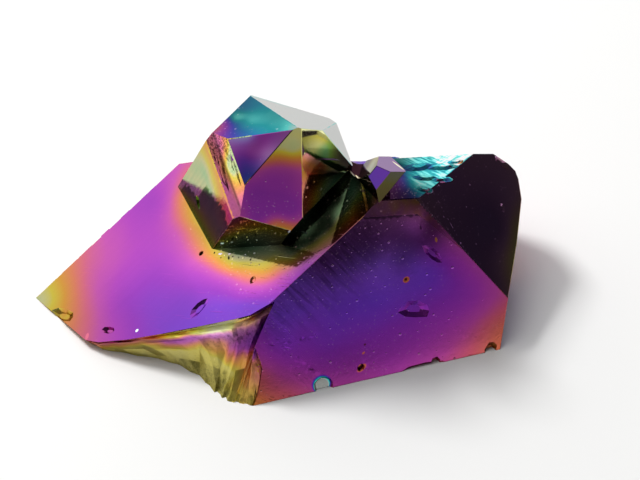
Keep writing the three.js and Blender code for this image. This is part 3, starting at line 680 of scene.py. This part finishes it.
def split_to_triangles():
    """Splits the selected polygons into well-shaped triangles, in edit mode."""
    bpy.ops.mesh.quads_convert_to_tris(quad_method="BEAUTY", ngon_method="BEAUTY")
    bpy.ops.mesh.beautify_fill(angle_limit=math.radians(0.5))


def solid_copy(node, name):
    """A joined-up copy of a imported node's mesh, in millimetres, with its flat facets whole."""
    bpy.ops.object.select_all(action="DESELECT")
    piece = node.copy()
    piece.data = node.data.copy()
    piece.name = piece.data.name = name
    piece.data.materials.clear()
    bpy.context.scene.collection.objects.link(piece)
    piece.parent = None
    for key in [key for key in piece.keys() if key.startswith("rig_")]:
        del piece[key]
    bpy.context.view_layer.objects.active = piece
    piece.select_set(True)
    bpy.ops.object.mode_set(mode="EDIT")
    scale_all(1 / MM)
    bpy.ops.mesh.remove_doubles(threshold=1e-4)
    bpy.ops.mesh.customdata_custom_splitnormals_clear()
    bpy.ops.mesh.dissolve_limited(angle_limit=math.radians(0.4))
    bpy.ops.object.mode_set(mode="OBJECT")
    return piece


def soften_edges(piece, width, sharper_than, larger_than, longer_than):
    """Rounds the outward edges that turn by more than so many degrees between large facets.

    On a filmed crystal they are never knife sharp. Sizes are in millimetres.
    """
    mesh = piece.data
    centres, normals, areas = face_numbers(mesh)
    points = points_of(mesh)
    ends = ends_of(mesh)
    beside = beside_edges(mesh)
    chosen = np.zeros(len(ends), bool)
    for number, (a, b) in enumerate(ends):
        pair = beside[(min(a, b), max(a, b))]
        turn = math.degrees(math.acos(max(-1, min(1, normals[pair[0]] @ normals[pair[1]]))))
        long_enough = np.linalg.norm(points[a] - points[b]) > longer_than
        outward = (centres[pair[1]] - centres[pair[0]]) @ normals[pair[0]] < 0
        large = min(areas[pair]) > larger_than
        chosen[number] = turn > sharper_than and large and long_enough and outward
    select_edges(mesh, chosen)
    bpy.ops.mesh.bevel(offset=width, segments=2, profile=0.5, affect="EDGES", clamp_overlap=False)
    bpy.ops.mesh.select_all(action="SELECT")
    for shortest in (0.002, 0.01):
        bpy.ops.mesh.dissolve_degenerate(threshold=shortest)
        split_to_triangles()
    bpy.ops.object.mode_set(mode="OBJECT")


def refine(piece, longest):
    """Splits edges until hardly any is longer than `longest` allows where it lies."""
    mesh = piece.data
    for _ in range(MOST_ROUNDS):
        points = points_of(mesh)
        ends = ends_of(mesh)
        a, b = points[ends[:, 0]], points[ends[:, 1]]
        chosen = np.linalg.norm(a - b, axis=1) > longest(a, b)
        if chosen.sum() < FEW_EDGES:
            return
        select_edges(mesh, chosen)
        bpy.ops.mesh.subdivide(number_cuts=1)
        bpy.ops.mesh.select_all(action="SELECT")
        split_to_triangles()
        bpy.ops.object.mode_set(mode="OBJECT")


# ---------------------------------------------------------------------------------------------
# Which face is which
# ---------------------------------------------------------------------------------------------

SAME_PLANE = 0.35  # how far from its face's plane a flat facet may lie, in millimetres
SAME_WAY = math.cos(math.radians(6))  # and the cosine of how far it may be turned from it
CHIP_REACH = 0.75  # the same for a chip: millimetres, and 1 minus the cosine of its turn
CHIP_TURN_COST = 0.35  # the millimetres that a turn of 90 degrees counts for
CRUMB_AREA, CRUMB_REACH = 0.004, 0.02  # a facet this small and this near is a chip however turned
FOOT_REACH = 0.3  # how far the upright crystals reach down through the stout one's upper face
TINY_LOWEST = 17.0  # the height above which a chip can be one of the tiny crystal's
BREAK_EDGE = 0.06  # how far inside its two faces the break begins
BREAK_RIGHT, BREAK_BACK = -4.0, 6.5  # how far it reaches to the right and to the back
BREAK_TOP = -1.0  # and along the stout crystal's upper face
DEEP_BREAK = 0.55  # the depth below which the break has no chips of a face
STEP_RIGHT, STEP_LOW = -6.6, 15.0  # how far the growth step reaches to the right and down
STEP_ALONG, STEP_ACROSS = 1.6, (-3.4, 6.2)  # where it lies on the foot's left face
SLIVER = 0.005  # a facet smaller than this, in square millimetres, is a sliver
NOT_SLIVER = 0.012  # and one larger than this can adopt it
FAR = 9.0  # further off, in millimetres, than any facet that is matched


def sort_facets(mesh):
    """For each polygon, the number of the crystal face it lies on or belongs to.

    The second list says how it belongs: FLAT on the face itself, CHIP in a chip, a plate or a
    rounded edge of it, STEP in the growth step, and ROUGH in a break, which belongs to no face.
    """
    centres, normals, areas = face_numbers(mesh)
    centres = centres - SHIFT
    owner = np.full(len(centres), BROKEN)
    kind = np.full(len(centres), ROUGH)
    best = np.full(len(centres), FAR)
    above = PLAIN["upper"].height(centres) > -FOOT_REACH
    for number, name in enumerate(NAMES):
        face = PLAIN[name]
        off = np.abs(face.height(centres))
        match = (normals @ face.normal > SAME_WAY) & (off < SAME_PLANE) & (off < best)
        if face.crystal != "stout":
            match &= above
        owner[match] = number
        kind[match] = FLAT
        best[match] = off[match]
    best = np.full(len(centres), FAR)
    for number, name in enumerate(NAMES):
        face = PLAIN[name]
        off = np.abs(face.height(centres))
        turned = 1.0 - normals @ face.normal
        cost = off + CHIP_TURN_COST * turned
        near = (off < CHIP_REACH) & (turned < CHIP_REACH)
        near |= (areas < CRUMB_AREA) & (off < CRUMB_REACH)
        near &= (kind != FLAT) & (cost < best)
        if face.crystal == "tiny":
            near &= centres[:, 2] > TINY_LOWEST
        if face.crystal != "stout":
            near &= above
        owner[near] = number
        kind[near] = CHIP
        best[near] = cost[near]
    loose = kind != FLAT
    deep = PLAIN["upper"].height(centres) < -DEEP_BREAK
    kind[loose & deep & in_break(centres)] = ROUGH
    step = loose & in_step(centres)
    owner[step] = NAMES.index("foot left")
    kind[step] = STEP
    adopt_slivers(mesh, areas, owner, kind)
    return owner, kind


def adopt_slivers(mesh, areas, owner, kind):
    """Gives each sliver to the larger facet beside it, so that none stands out in its colour."""
    for pair in beside_edges(mesh).values():
        small, large = min(pair, key=areas.__getitem__), max(pair, key=areas.__getitem__)
        if areas[small] < SLIVER and areas[large] > NOT_SLIVER:
            owner[small], kind[small] = owner[large], kind[large]


def in_break(points):
    """Where the shell-like break of the front left end lies."""
    inside = PLAIN["upper"].height(points) < -BREAK_EDGE
    inside &= PLAIN["front"].height(points) < -BREAK_EDGE
    along, _ = PLAIN["upper"].chart(points)
    inside &= (points[:, 0] < BREAK_RIGHT) & (points[:, 1] < BREAK_BACK)
    return inside & (along < BREAK_TOP)


def over_break(marks, points):
    """The smooth surface through marks on the break, read at each point."""
    marks = [(x, depth * BREAK_STRETCH, value) for x, depth, value in marks]
    depth = -PLAIN["upper"].height(points)
    return spread(marks, points[:, 0], depth * BREAK_STRETCH)


def in_step(points):
    """Where the growth step on the left of the upright crystal lies."""
    along, across = PLAIN["foot left"].chart(points)
    beside = (points[:, 0] < STEP_RIGHT) & (points[:, 2] > STEP_LOW)
    start, end = STEP_ACROSS
    return beside & (along > STEP_ALONG) & (across > start) & (across < end)


# How high the relief of the mesh is, in millimetres: the crumbs and the waviness of the breaks,
# and the ripples on the top tip face, whose heading in degrees follows.
COARSE_CRUMB, FINE_CRUMB, WAVINESS = 0.10, 0.07, 0.02
COARSE_RIPPLE, FINE_RIPPLE = 0.03, 0.025
RIPPLE_HEADING = -32
RIPPLED_FROM = 2.0  # where the finer mesh for the ripples begins, along the face
RIPPLED_WITHIN = 0.4  # and how near the face it is finer
OFF_GROUND = 0.02  # the flat underside lies below this height


def paint(piece, owner, kind):
    """Stores what the film is like on each corner, its painted light and shade among it, and a
    chart of its face in millimetres.
    """
    mesh = piece.data
    count = len(mesh.loops)
    points = points_of(mesh)[corners_of(mesh).reshape(-1)] - SHIFT
    owner, kind = np.repeat(owner, 3), np.repeat(kind, 3)
    stored = {key: np.full(count, value) for key, value in PLAIN_FINISH.items()}
    film = np.full(count, 0.2)
    crumb = np.zeros(count)
    chart = np.zeros((count, 2))
    for number, name in enumerate(NAMES):
        here = owner == number
        if not here.any():
            continue
        along, across = PLAIN[name].chart(points[here])
        chart[here] = np.stack([along + CHART_GAP * (number + 1), across], 1)
        marks = FILM_MARKS.get(name)
        film[here] = spread(marks, along, across) if marks else PLAIN_FILM
        for key, value in FACE_FINISH.get(name, {}).items():
            if isinstance(value, list):
                value = spread(value, along, across)
            stored[key][here] = value

    chip = kind == CHIP
    stored["satin"][chip] = CHIP_SATIN
    for name, satin in CHIP_SATIN_ON.items():
        stored["satin"][chip & (owner == NAMES.index(name))] = satin
    # Chips have a slightly thinner and uneven film.
    film[chip] = np.clip(film[chip] - 0.04 + 0.06 * patches(points[chip], 1.3), 0.05, 1)
    # Painted reflection: chips on the front face mirror darker light, so their tone is cut a
    # little.
    stored["tone"][chip & (owner == NAMES.index("front"))] *= 0.9

    # The growth step is painted darker on its lower tread and lighter above, with a painted shade
    # line where its riser begins.
    step = kind == STEP
    along, across = PLAIN["foot left"].chart(points[step])
    film[step] = spread(STEP_MARKS, along, across)
    line = np.clip(1.0 - np.abs(along - STEP_LINE) / STEP_LINE_WIDTH, 0.0, 1.0)
    stored["tone"][step] = np.where(along < STEP_RISER, 0.6, 1.15) * (1.0 - 0.75 * line)
    stored["shade"][step] = 0.0
    stored["groove"][step] = 0.5
    stored["satin"][step] = STEP_SATIN
    crumb[step] = 0.25 + 0.75 * np.clip((across - 2.0) / 2.0, 0.0, 1.0)

    rough = kind == ROUGH
    film[rough] = 0.25 + 0.25 * patches(points[rough], 0.4)
    crumb[rough] = 0.4
    front = rough & in_break(points)
    film[front] = over_break(BREAK_MARKS, points[front]) + 0.025 * patches(points[front], 1.1)
    film[front] = np.maximum(film[front], BREAK_THINNEST)
    stored["tone"][front] = over_break(BREAK_TONES, points[front])
    stored["depth"][front] = over_break(BREAK_DEPTHS, points[front])
    stored["satin"][front] = BREAK_SATIN
    crumb[front] = over_break(BREAK_CRUMBS, points[front])
    chart[rough] = points[rough][:, :2]

    stored.update(film=np.clip(film, 0.0, 1.0), crumb=crumb)
    for name, values in stored.items():
        attribute = mesh.attributes.new(name, "FLOAT", "CORNER")
        attribute.data.foreach_set("value", values.astype(np.float32))
    layer = mesh.uv_layers.new(name="chart")
    layer.data.foreach_set("uv", chart.reshape(-1).astype(np.float32))


def relieve(piece, owner, kind):
    """Raises the surface a little where it is not flat: ripples, crumbs and a slight waviness."""
    mesh = piece.data
    points = points_of(mesh)
    normals = np.empty(len(points) * 3)
    mesh.vertices.foreach_get("normal", normals)
    normals = normals.reshape(-1, 3)
    places = points - SHIFT

    # Each vertex takes the face of its facets, and lies on a seam where they differ.
    corners = corners_of(mesh)
    face_of = np.full(len(points), BROKEN)
    rough = np.ones(len(points), bool)
    mixed = np.zeros(len(points), bool)
    for column in range(3):
        spots = corners[:, column]
        mixed[spots[(face_of[spots] != BROKEN) & (face_of[spots] != owner)]] = True
        face_of[spots] = np.where(owner != BROKEN, owner, face_of[spots])
        rough[spots[kind != ROUGH]] = False

    lift = np.zeros(len(points))
    crumbly = rough & (places[:, 2] > OFF_GROUND)
    spots = places[crumbly]
    crumb = over_break(BREAK_CRUMBS, spots)
    lift[crumbly] = crumb * (COARSE_CRUMB * patches(spots, 0.9) + FINE_CRUMB * patches(spots, 2.6))
    lift[crumbly] += WAVINESS * patches(spots, 0.5)
    rippled = (face_of == NAMES.index("top tip")) & ~mixed
    lift[rippled] = ripples(places[rippled])
    moved = points + normals * lift[:, None]
    low, high = np.array(CAD_BOX[0]) / MM, np.array(CAD_BOX[1]) / MM
    set_points(mesh, np.clip(moved, low, high))


def ripples(places):
    """Growth ripples that fan out over the top tip face and fade towards its rim."""
    face = PLAIN["top tip"]
    along, across = face.chart(places)
    rim = np.full(len(places), FAR)
    for name in ("front", "dark tip", "far tip", "back tip"):
        rim = np.minimum(rim, -PLAIN[name].height(places))
    fade = np.clip((rim - 0.1) / 0.6, 0.0, 1.0) * np.clip((along - 3.5) / 2.5, 0.0, 1.0)
    heading = math.radians(RIPPLE_HEADING)
    run = along * math.cos(heading) + across * math.sin(heading)
    over = across * math.cos(heading) - along * math.sin(heading)
    height = np.empty(len(places))
    for number, (a, b) in enumerate(zip(run, over)):
        bend = 0.7 * noise.noise(Vector((a * 0.35, b * 0.35, 4.0)))
        coarse = noise.noise(Vector((a * 0.3, (b + bend) * 1.2, 1.0)))
        fine = noise.noise(Vector((a * 0.8, (b + bend) * 3.2, 2.0)))
        height[number] = COARSE_RIPPLE * (0.5 - abs(coarse)) + FINE_RIPPLE * fine
    return height * fade


def patches(points, size):
    """Uneven patches, between about -1 and 1, this many to a millimetre."""
    return np.array([noise.noise(Vector(point) * size) for point in points]) * 1.6


# ---------------------------------------------------------------------------------------------
# Shader writing
# ---------------------------------------------------------------------------------------------


class Wire:
    """A node's output that takes part in Python expressions."""

    def __init__(self, graph, socket):
        self.graph = graph
        self.socket = socket

    def _math(self, operation, *values, clamp=False):
        """A Math node with this operation on these values."""
        settings = {"operation": operation, "use_clamp": clamp}
        return self.graph.node("ShaderNodeMath", settings, dict(enumerate(values)))

    def __add__(self, other):
        return self._math("ADD", self, other)

    __radd__ = __add__

    def __sub__(self, other):
        return self._math("SUBTRACT", self, other)

    def __rsub__(self, other):
        return self._math("SUBTRACT", other, self)

    def __mul__(self, other):
        return self._math("MULTIPLY", self, other)

    __rmul__ = __mul__

    def clamped(self):
        """Held between 0 and 1."""
        return self._math("ADD", self, 0.0, clamp=True)

    def step(self, low, high):
        """0 below `low`, 1 above `high`, and a smooth rise between."""
        values = {"Value": self, "From Min": low, "From Max": high}
        settings = {"interpolation_type": "SMOOTHSTEP"}
        return self.graph.node("ShaderNodeMapRange", settings, values)


class Graph:
    """One node tree, filled by code."""

    def __init__(self, tree):
        self.tree = tree
        tree.nodes.clear()

    def node(self, kind, settings=None, values=None, output=0):
        """A node of this type: its settings first, then the values or wires of its sockets."""
        made = self.tree.nodes.new(kind)
        for name, setting in (settings or {}).items():
            if name == "stops":
                self._stops(made.color_ramp, setting)
            else:
                setattr(made, name, setting)
        for key, value in (values or {}).items():
            if isinstance(value, Wire):
                self.tree.links.new(value.socket, made.inputs[key])
            else:
                made.inputs[key].default_value = value
        if not made.outputs:
            return made
        return Wire(self, made.outputs[output])

    def _stops(self, ramp, stops):
        """Gives a ramp these stops in place of its own."""
        while len(ramp.elements) > 1:
            ramp.elements.remove(ramp.elements[0])
        for number, (position, colour) in enumerate(stops):
            stop = ramp.elements[0] if number == 0 else ramp.elements.new(position)
            stop.position = position
            stop.color = (*colour, 1.0)

    def stored(self, name):
        """A number that is stored on the mesh."""
        return self.node("ShaderNodeAttribute", {"attribute_name": name}, output=2)

    def lines(self, chart, heading, along, across, detail=4.0):
        """Noise drawn out into lines: its scale along them and across them, to a millimetre."""
        values = {
            "Vector": chart,
            "Rotation": (0.0, 0.0, math.radians(heading)),
            "Scale": (1 / along, 1 / across, 1.0),
        }
        turned = self.node("ShaderNodeMapping", {"vector_type": "TEXTURE"}, values)
        values = {"Vector": turned, "Scale": 1.0, "Detail": detail}
        return self.node("ShaderNodeTexNoise", None, values)

    def specks(self, chart, share, scale, reach):
        """Round specks of uneven size in this share of the cells of a loose pattern."""
        settings = {"voronoi_dimensions": "2D"}
        values = {"Vector": chart, "Scale": scale}
        distance = self.node("ShaderNodeTexVoronoi", settings, values)
        cell = Wire(self, distance.socket.node.outputs["Color"])
        first = self.node("ShaderNodeSeparateXYZ", None, {0: cell})
        second = Wire(self, first.socket.node.outputs[1])
        size = second * second * reach + 0.04
        speck = 1.0 - (distance - size).step(-0.06, 0.05)
        return speck * (share - first).step(0.0, 0.02)

    def spot(self, chart, centre, long, wide, heading):
        """1 inside an oval on the chart and 0 outside it."""
        values = {
            "Vector": chart,
            "Location": centre,
            "Rotation": (0.0, 0.0, math.radians(heading)),
            "Scale": (long, wide, 1.0),
        }
        inside = self.node("ShaderNodeMapping", {"vector_type": "TEXTURE"}, values)
        settings = {"operation": "LENGTH"}
        distance = self.node("ShaderNodeVectorMath", settings, {0: inside}, output=1)
        return 1.0 - distance.step(0.75, 1.1)

    def scaled(self, vector, size):
        """A vector or a colour times a number."""
        settings = {"operation": "SCALE"}
        return self.node("ShaderNodeVectorMath", settings, {"Vector": vector, "Scale": size})

    def times(self, a, b):
        """Two vectors or colours multiplied part by part."""
        return self.node("ShaderNodeVectorMath", {"operation": "MULTIPLY"}, {0: a, 1: b})

    def plus(self, a, b):
        """Two vectors or colours added part by part."""
        return self.node("ShaderNodeVectorMath", {"operation": "ADD"}, {0: a, 1: b})


def film_material(name, settings):
    """The metallic film: colour by thickness, painted shade and highlights, dust, fine lines and a
    mirror gloss.
    """
    material = bpy.data.materials.new(name)
    material.use_nodes = True
    graph = Graph(material.node_tree)
    place = graph.scaled(graph.node("ShaderNodeTexCoord", output=3), 1 / MM)
    chart = graph.node("ShaderNodeUVMap", {"uv_map": "chart"})
    film, tone, depth = graph.stored("film"), graph.stored("tone"), graph.stored("depth")
    crumb = graph.stored("crumb")

    # Fine lines along the crystal and across it, and slanting scratches.
    lines = graph.lines(chart, 0, 0.12, 3.2)
    bars = graph.lines(chart, 90, 0.22, 1.5, 2.0)
    scratches = graph.lines(chart, -52, 0.3, 5.0).step(0.6, 0.7) * graph.stored("scratch")

    # Growth streaks, which fan out in one direction up to a streak of 1 and in another past it.
    streak = graph.stored("streak")
    turned = (streak - 1.0).clamped()
    streak = streak.clamped()
    streaks = graph.lines(chart, -62, 0.5, 2.0, 3.0)
    streaks = streaks + (graph.lines(chart, 14, 0.5, 2.0, 3.0) - streaks) * turned

    # Grain and clouds over the whole piece, and the specks of dust.
    grain = graph.node("ShaderNodeTexNoise", None, {"Vector": place, "Scale": 5.0, "Detail": 5.0})
    cloud = graph.node("ShaderNodeTexNoise", None, {"Vector": place, "Scale": 0.35, "Detail": 3.0})
    groove, stria = graph.stored("groove"), graph.stored("stria")
    # Where the streaks are bright: painted highlights, and a slightly thicker film.
    bright = streaks.step(0.38, 0.62)
    dusty = graph.stored("dust")
    specks = graph.specks(chart, dusty * 0.7, 1.3, 0.13)
    fine = graph.specks(chart, dusty, 3.4, 0.22)

    # The film's thickness and its tone, with the single marks over them. The tone holds the painted
    # light: the ragged painted dark reflection, painted shade in the pits, and the painted
    # highlights and dark reflections of the streaks.
    thickness = film + (cloud - 0.5) * 0.03 + (bright - 0.5) * streak * 0.08
    thickness = (thickness + (lines - 0.5) * groove * 0.05 - scratches * 0.05).clamped()
    ragged = (graph.stored("shade") + (lines - 0.5) * 1.1).step(0.42, 0.56)
    pits = (grain + crumb * 0.1).step(0.57, 0.66) * crumb
    tone = tone * (1.0 - ragged * 0.82) * (1.0 - pits * 0.7)
    tone = tone * (1.0 - bars.step(0.46, 0.62) * stria * 0.38) * (1.0 + (lines - 0.5) * groove)
    tone = tone * (1.0 + (bright * 0.75 - 0.35) * streak)
    tone = tone * (1.0 + scratches * 0.2)
    # Specks of dust, and the painted glints of the spots over GLINT, turn pale and less metallic.
    dust_and_glints = specks * 0.45 + fine * 0.3
    for face, (along, across), long, wide, heading, inside, shine in SPOTS:
        centre = (along + CHART_GAP * (NAMES.index(face) + 1), across, 0.0)
        spot = graph.spot(chart, centre, long, wide, heading)
        thickness = thickness + (inside - thickness) * spot
        tone = tone + (shine - tone) * spot
        if shine > GLINT:
            dust_and_glints = dust_and_glints + spot

    # Its colour by thickness, its relief and its gloss.
    stops = [(at, tuple(getattr(settings, key))) for key, _, at, _ in FILM_COLOURS]
    colour = graph.node("ShaderNodeValToRGB", {"stops": stops}, {0: thickness})
    colour = graph.node("ShaderNodeGamma", None, {"Color": colour, "Gamma": depth})
    colour = graph.times(colour, graph.plus((1.0, 1.0, 1.0), graph.scaled(SHADE_TINT, ragged)))
    colour = graph.plus(graph.scaled(colour, tone), graph.scaled(DUST_AND_GLINT_COLOUR, dust_and_glints))
    relief = lines * groove * 0.4 + bars * stria * 0.08 + grain * (crumb * 0.35 + 0.004)
    relief = relief + streaks * streak * 0.4 + specks * 0.06 + scratches * 0.08
    bump = graph.node(
        "ShaderNodeBump", None, {"Strength": 1.0, "Distance": RELIEF, "Height": relief}
    )
    roughness = 0.045 + grain * 0.03 + crumb * 0.12 + specks * 0.15 + graph.stored("satin")
    metal = 1.0 - (dust_and_glints * 0.6).clamped()
    shader = graph.node(
        "ShaderNodeBsdfPrincipled",
        None,
        {
            "Base Color": colour,
            "Metallic": metal,
            "Roughness": roughness,
            "Normal": bump,
            "Specular Tint": EDGE_TINT,
        },
    )
    graph.node("ShaderNodeOutputMaterial", None, {"Surface": shader})
    return material


# ---------------------------------------------------------------------------------------------
# The studio
# ---------------------------------------------------------------------------------------------

# The middle of the wide soft window: its compass direction and its height, in degrees.
WINDOW_HEADING, WINDOW_HEIGHT = -32, 36
LOW_GLOW = 0.42  # how bright the pale lower half of the room is

# Where the camera stands and what it looks at, in the crystals' own millimetres.
CAMERA_PLACE = (0, -131.55, 158.49)
CAMERA_AIM = (0, 0, 15.145)


# ---------------------------------------------------------------------------------------------
# Settings
# ---------------------------------------------------------------------------------------------


class AURA_PG_cluster(bpy.types.PropertyGroup):
    """Sizes of the cluster's finish, in millimetres unless said otherwise"""

    edge_round: bpy.props.FloatProperty(
        name="Edge rounding",
        description="Width of the rounding along the crystal edges, in millimetres",
        default=0.06,
        min=0.01,
        max=0.2,
    )
    mesh_step: bpy.props.FloatProperty(
        name="Mesh step",
        description="Longest mesh edge on the smooth faces, in millimetres",
        default=0.45,
        min=0.2,
        max=2.0,
    )
    rough_step: bpy.props.FloatProperty(
        name="Rough mesh step",
        description="Longest mesh edge on the rough faces, in millimetres",
        default=0.24,
        min=0.15,
        max=2.0,
    )
    ground_step: bpy.props.FloatProperty(
        name="Ground mesh step",
        description="Longest mesh edge on the flat underside, in millimetres",
        default=1.5,
        min=0.5,
        max=5.0,
    )


def colour_property(title, colour):
    """A colour that a user can change."""
    return bpy.props.FloatVectorProperty(
        name=title,
        description=f"Colour of the film where it is {title.lower()}",
        subtype="COLOR",
        size=3,
        min=0.0,
        max=1.0,
        default=colour,
    )


class AURA_PG_film(bpy.types.PropertyGroup):
    """The film's colours as it thickens"""

    __annotations__ = {key: colour_property(title, c) for key, title, _, c in FILM_COLOURS}


class AURA_PG_studio(bpy.types.PropertyGroup):
    """The floor, the lights and the camera"""

    floor_radius: bpy.props.FloatProperty(
        name="Floor radius",
        description="Radius of the pale floor",
        default=1.2,
        unit="LENGTH",
    )
    floor_colour: bpy.props.FloatVectorProperty(
        name="Floor colour",
        description="Colour of the pale floor",
        subtype="COLOR",
        size=3,
        default=(0.86, 0.86, 0.85),
    )
    window_strength: bpy.props.FloatProperty(
        name="Window strength",
        description="Brightness of the wide soft light behind the cluster on its left",
        default=0.95,
    )
    room_strength: bpy.props.FloatProperty(
        name="Room strength",
        description="Brightness of the dim room in front of the cluster",
        default=0.05,
    )
    overhead_power: bpy.props.FloatProperty(
        name="Overhead power",
        description="Power of the soft light over the cluster",
        default=0.45,
        unit="POWER",
    )
    side_power: bpy.props.FloatProperty(
        name="Side power",
        description="Power of the soft light on the left, which casts the shadow",
        default=2.3,
        unit="POWER",
    )
    lens: bpy.props.FloatProperty(
        name="Lens",
        description="Focal length of the camera in millimetres",
        default=112.5,
    )


# ---------------------------------------------------------------------------------------------
# Operators
# ---------------------------------------------------------------------------------------------


class AURA_OT_cluster(bpy.types.Operator):
    """Shape the three grown-together crystals and lay the film on them"""

    bl_idname = "aura.cluster"
    bl_label = "Crystal cluster"
    bl_options = {"UNDO"}

    def execute(self, context):
        sizes = context.scene.aura_cluster
        piece = solid_copy(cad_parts[NODE], PIECE)
        soften_edges(piece, sizes.edge_round, sharper_than=18, larger_than=2.0, longer_than=0.6)

        def longest(a, b):
            """The longest edge that is fine enough here: shorter where the surface is rough."""
            middle = (a + b) / 2 - SHIFT
            rough = in_break(middle)
            along, _ = PLAIN["top tip"].chart(middle)
            on_tip = np.abs(PLAIN["top tip"].height(middle)) < RIPPLED_WITHIN
            rough |= on_tip & (along > RIPPLED_FROM)
            rough |= np.linalg.norm(middle - GROWTH_STEP, axis=1) < GROWTH_REACH
            step = np.where(rough, sizes.rough_step, sizes.mesh_step)
            ground = (a[:, 2] < 0.01) & (b[:, 2] < 0.01)
            return np.where(ground, sizes.ground_step, step)

        refine(piece, longest)
        owner, kind = sort_facets(piece.data)
        paint(piece, owner, kind)
        relieve(piece, owner, kind)
        bpy.ops.object.shade_smooth_by_angle(angle=math.radians(9))
        bpy.ops.object.mode_set(mode="EDIT")
        scale_all(MM)
        bpy.ops.object.mode_set(mode="OBJECT")
        piece.data.materials.append(film_material("titanium_film", context.scene.aura_film))
        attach(piece, "root")
        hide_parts(NODE)
        return {"FINISHED"}


class AURA_OT_studio(bpy.types.Operator):
    """Set the pale floor, the soft lights and the camera"""

    bl_idname = "aura.studio"
    bl_label = "Studio"
    bl_options = {"UNDO"}

    def execute(self, context):
        studio = context.scene.aura_studio
        self.floor(studio)
        self.room(context, studio)
        self.lamp("overhead_light", (-0.12, 0.12, 0.5), 0.35, studio.overhead_power)
        self.lamp("side_light", (-0.27, 0.22, 0.43), 0.14, studio.side_power)
        self.camera(context, studio)
        context.scene.view_settings.view_transform = "Standard"
        return {"FINISHED"}

    def floor(self, studio):
        """A wide pale disc under the cluster."""
        bpy.ops.object.select_all(action="DESELECT")
        bpy.ops.mesh.primitive_circle_add(
            vertices=96, radius=studio.floor_radius, fill_type="NGON", location=(0, 0, 0)
        )
        floor = bpy.context.object
        floor.name = "floor"
        material = bpy.data.materials.new("pale_floor")
        material.use_nodes = True
        graph = Graph(material.node_tree)
        colour = (*studio.floor_colour, 1.0)
        shader = graph.node(
            "ShaderNodeBsdfPrincipled", None, {"Base Color": colour, "Roughness": 0.9}
        )
        graph.node("ShaderNodeOutputMaterial", None, {"Surface": shader})
        floor.data.materials.append(material)

    def room(self, context, studio):
        """A dim room with one wide soft window behind on the left, and a pale lower half."""
        world = bpy.data.worlds.new("studio_room")
        world.use_nodes = True
        context.scene.world = world
        graph = Graph(world.node_tree)
        toward = graph.node("ShaderNodeTexCoord", output=0)
        heading, height = math.radians(WINDOW_HEADING), math.radians(WINDOW_HEIGHT)
        window = (
            math.sin(heading) * math.cos(height),
            math.cos(heading) * math.cos(height),
            math.sin(height),
        )
        settings = {"operation": "DOT_PRODUCT"}
        facing = graph.node("ShaderNodeVectorMath", settings, {0: toward, 1: window}, output=1)
        parts = graph.node("ShaderNodeSeparateXYZ", None, {0: toward}, output=2)
        low = 1.0 - parts.step(0.0, 0.09)
        glow = facing.step(0.2, 0.85) * studio.window_strength
        light = glow + low * LOW_GLOW + studio.room_strength
        colour = graph.scaled((1.0, 1.0, 1.0), light)
        back = graph.node("ShaderNodeBackground", None, {"Color": colour, "Strength": 1.0})
        graph.node("ShaderNodeOutputWorld", None, {"Surface": back})

    def lamp(self, name, place, size, power):
        """A soft round lamp aimed at the cluster. The cluster mirrors the room and not the lamp."""
        bpy.ops.object.light_add(type="AREA", location=place)
        light = bpy.context.object
        light.name = name
        light.data.shape = "DISK"
        light.data.size = size
        light.data.energy = power
        light.visible_glossy = False
        aim = Vector((0, 0, 0.01)) - Vector(place)
        light.rotation_euler = aim.to_track_quat("-Z", "Y").to_euler()

    def camera(self, context, studio):
        """The camera, aimed at the middle of the cluster from the front and above."""
        bpy.ops.object.camera_add()
        camera = bpy.context.object
        camera.name = "studio_camera"
        shift = Vector(SHIFT)
        place = (Vector(CAMERA_PLACE) + shift) * MM
        aim = (Vector(CAMERA_AIM) + shift) * MM
        camera.location = place
        camera.rotation_euler = (aim - place).to_track_quat("-Z", "Y").to_euler()
        camera.data.lens = studio.lens
        camera.data.sensor_width = 36.0
        camera.data.clip_start = 0.005
        camera.data.dof.use_dof = False
        context.scene.camera = camera


class AURA_PT_panel(bpy.types.Panel):
    """Lists the parts of the aura quartz scene"""

    bl_idname = "AURA_PT_panel"
    bl_label = "Aura Quartz"
    bl_space_type = "VIEW_3D"
    bl_region_type = "UI"
    bl_category = "Aura Quartz"

    def draw(self, context):
        layout = self.layout
        scene = context.scene
        for group, operator in (
            (scene.aura_cluster, AURA_OT_cluster),
            (scene.aura_film, None),
            (scene.aura_studio, AURA_OT_studio),
        ):
            box = layout.box()
            for name in group.bl_rna.properties.keys():
                if name not in ("rna_type", "name"):
                    box.prop(group, name)
            if operator:
                box.operator(operator.bl_idname)


CLASSES = (
    AURA_PG_cluster,
    AURA_PG_film,
    AURA_PG_studio,
    AURA_OT_cluster,
    AURA_OT_studio,
    AURA_PT_panel,
)


def register():
    """Gives Blender the groups, operators and panel."""
    for cls in CLASSES:
        bpy.utils.register_class(cls)
    bpy.types.Scene.aura_cluster = bpy.props.PointerProperty(type=AURA_PG_cluster)
    bpy.types.Scene.aura_film = bpy.props.PointerProperty(type=AURA_PG_film)
    bpy.types.Scene.aura_studio = bpy.props.PointerProperty(type=AURA_PG_studio)


def unregister():
    """Takes the groups, operators and panel out again."""
    del bpy.types.Scene.aura_studio
    del bpy.types.Scene.aura_film
    del bpy.types.Scene.aura_cluster
    for cls in reversed(CLASSES):
        bpy.utils.unregister_class(cls)


def main():
    """Builds the whole scene on the frame."""
    register()
    bpy.ops.aura.cluster()
    bpy.ops.aura.studio()


if __name__ == "__main__":
    main()
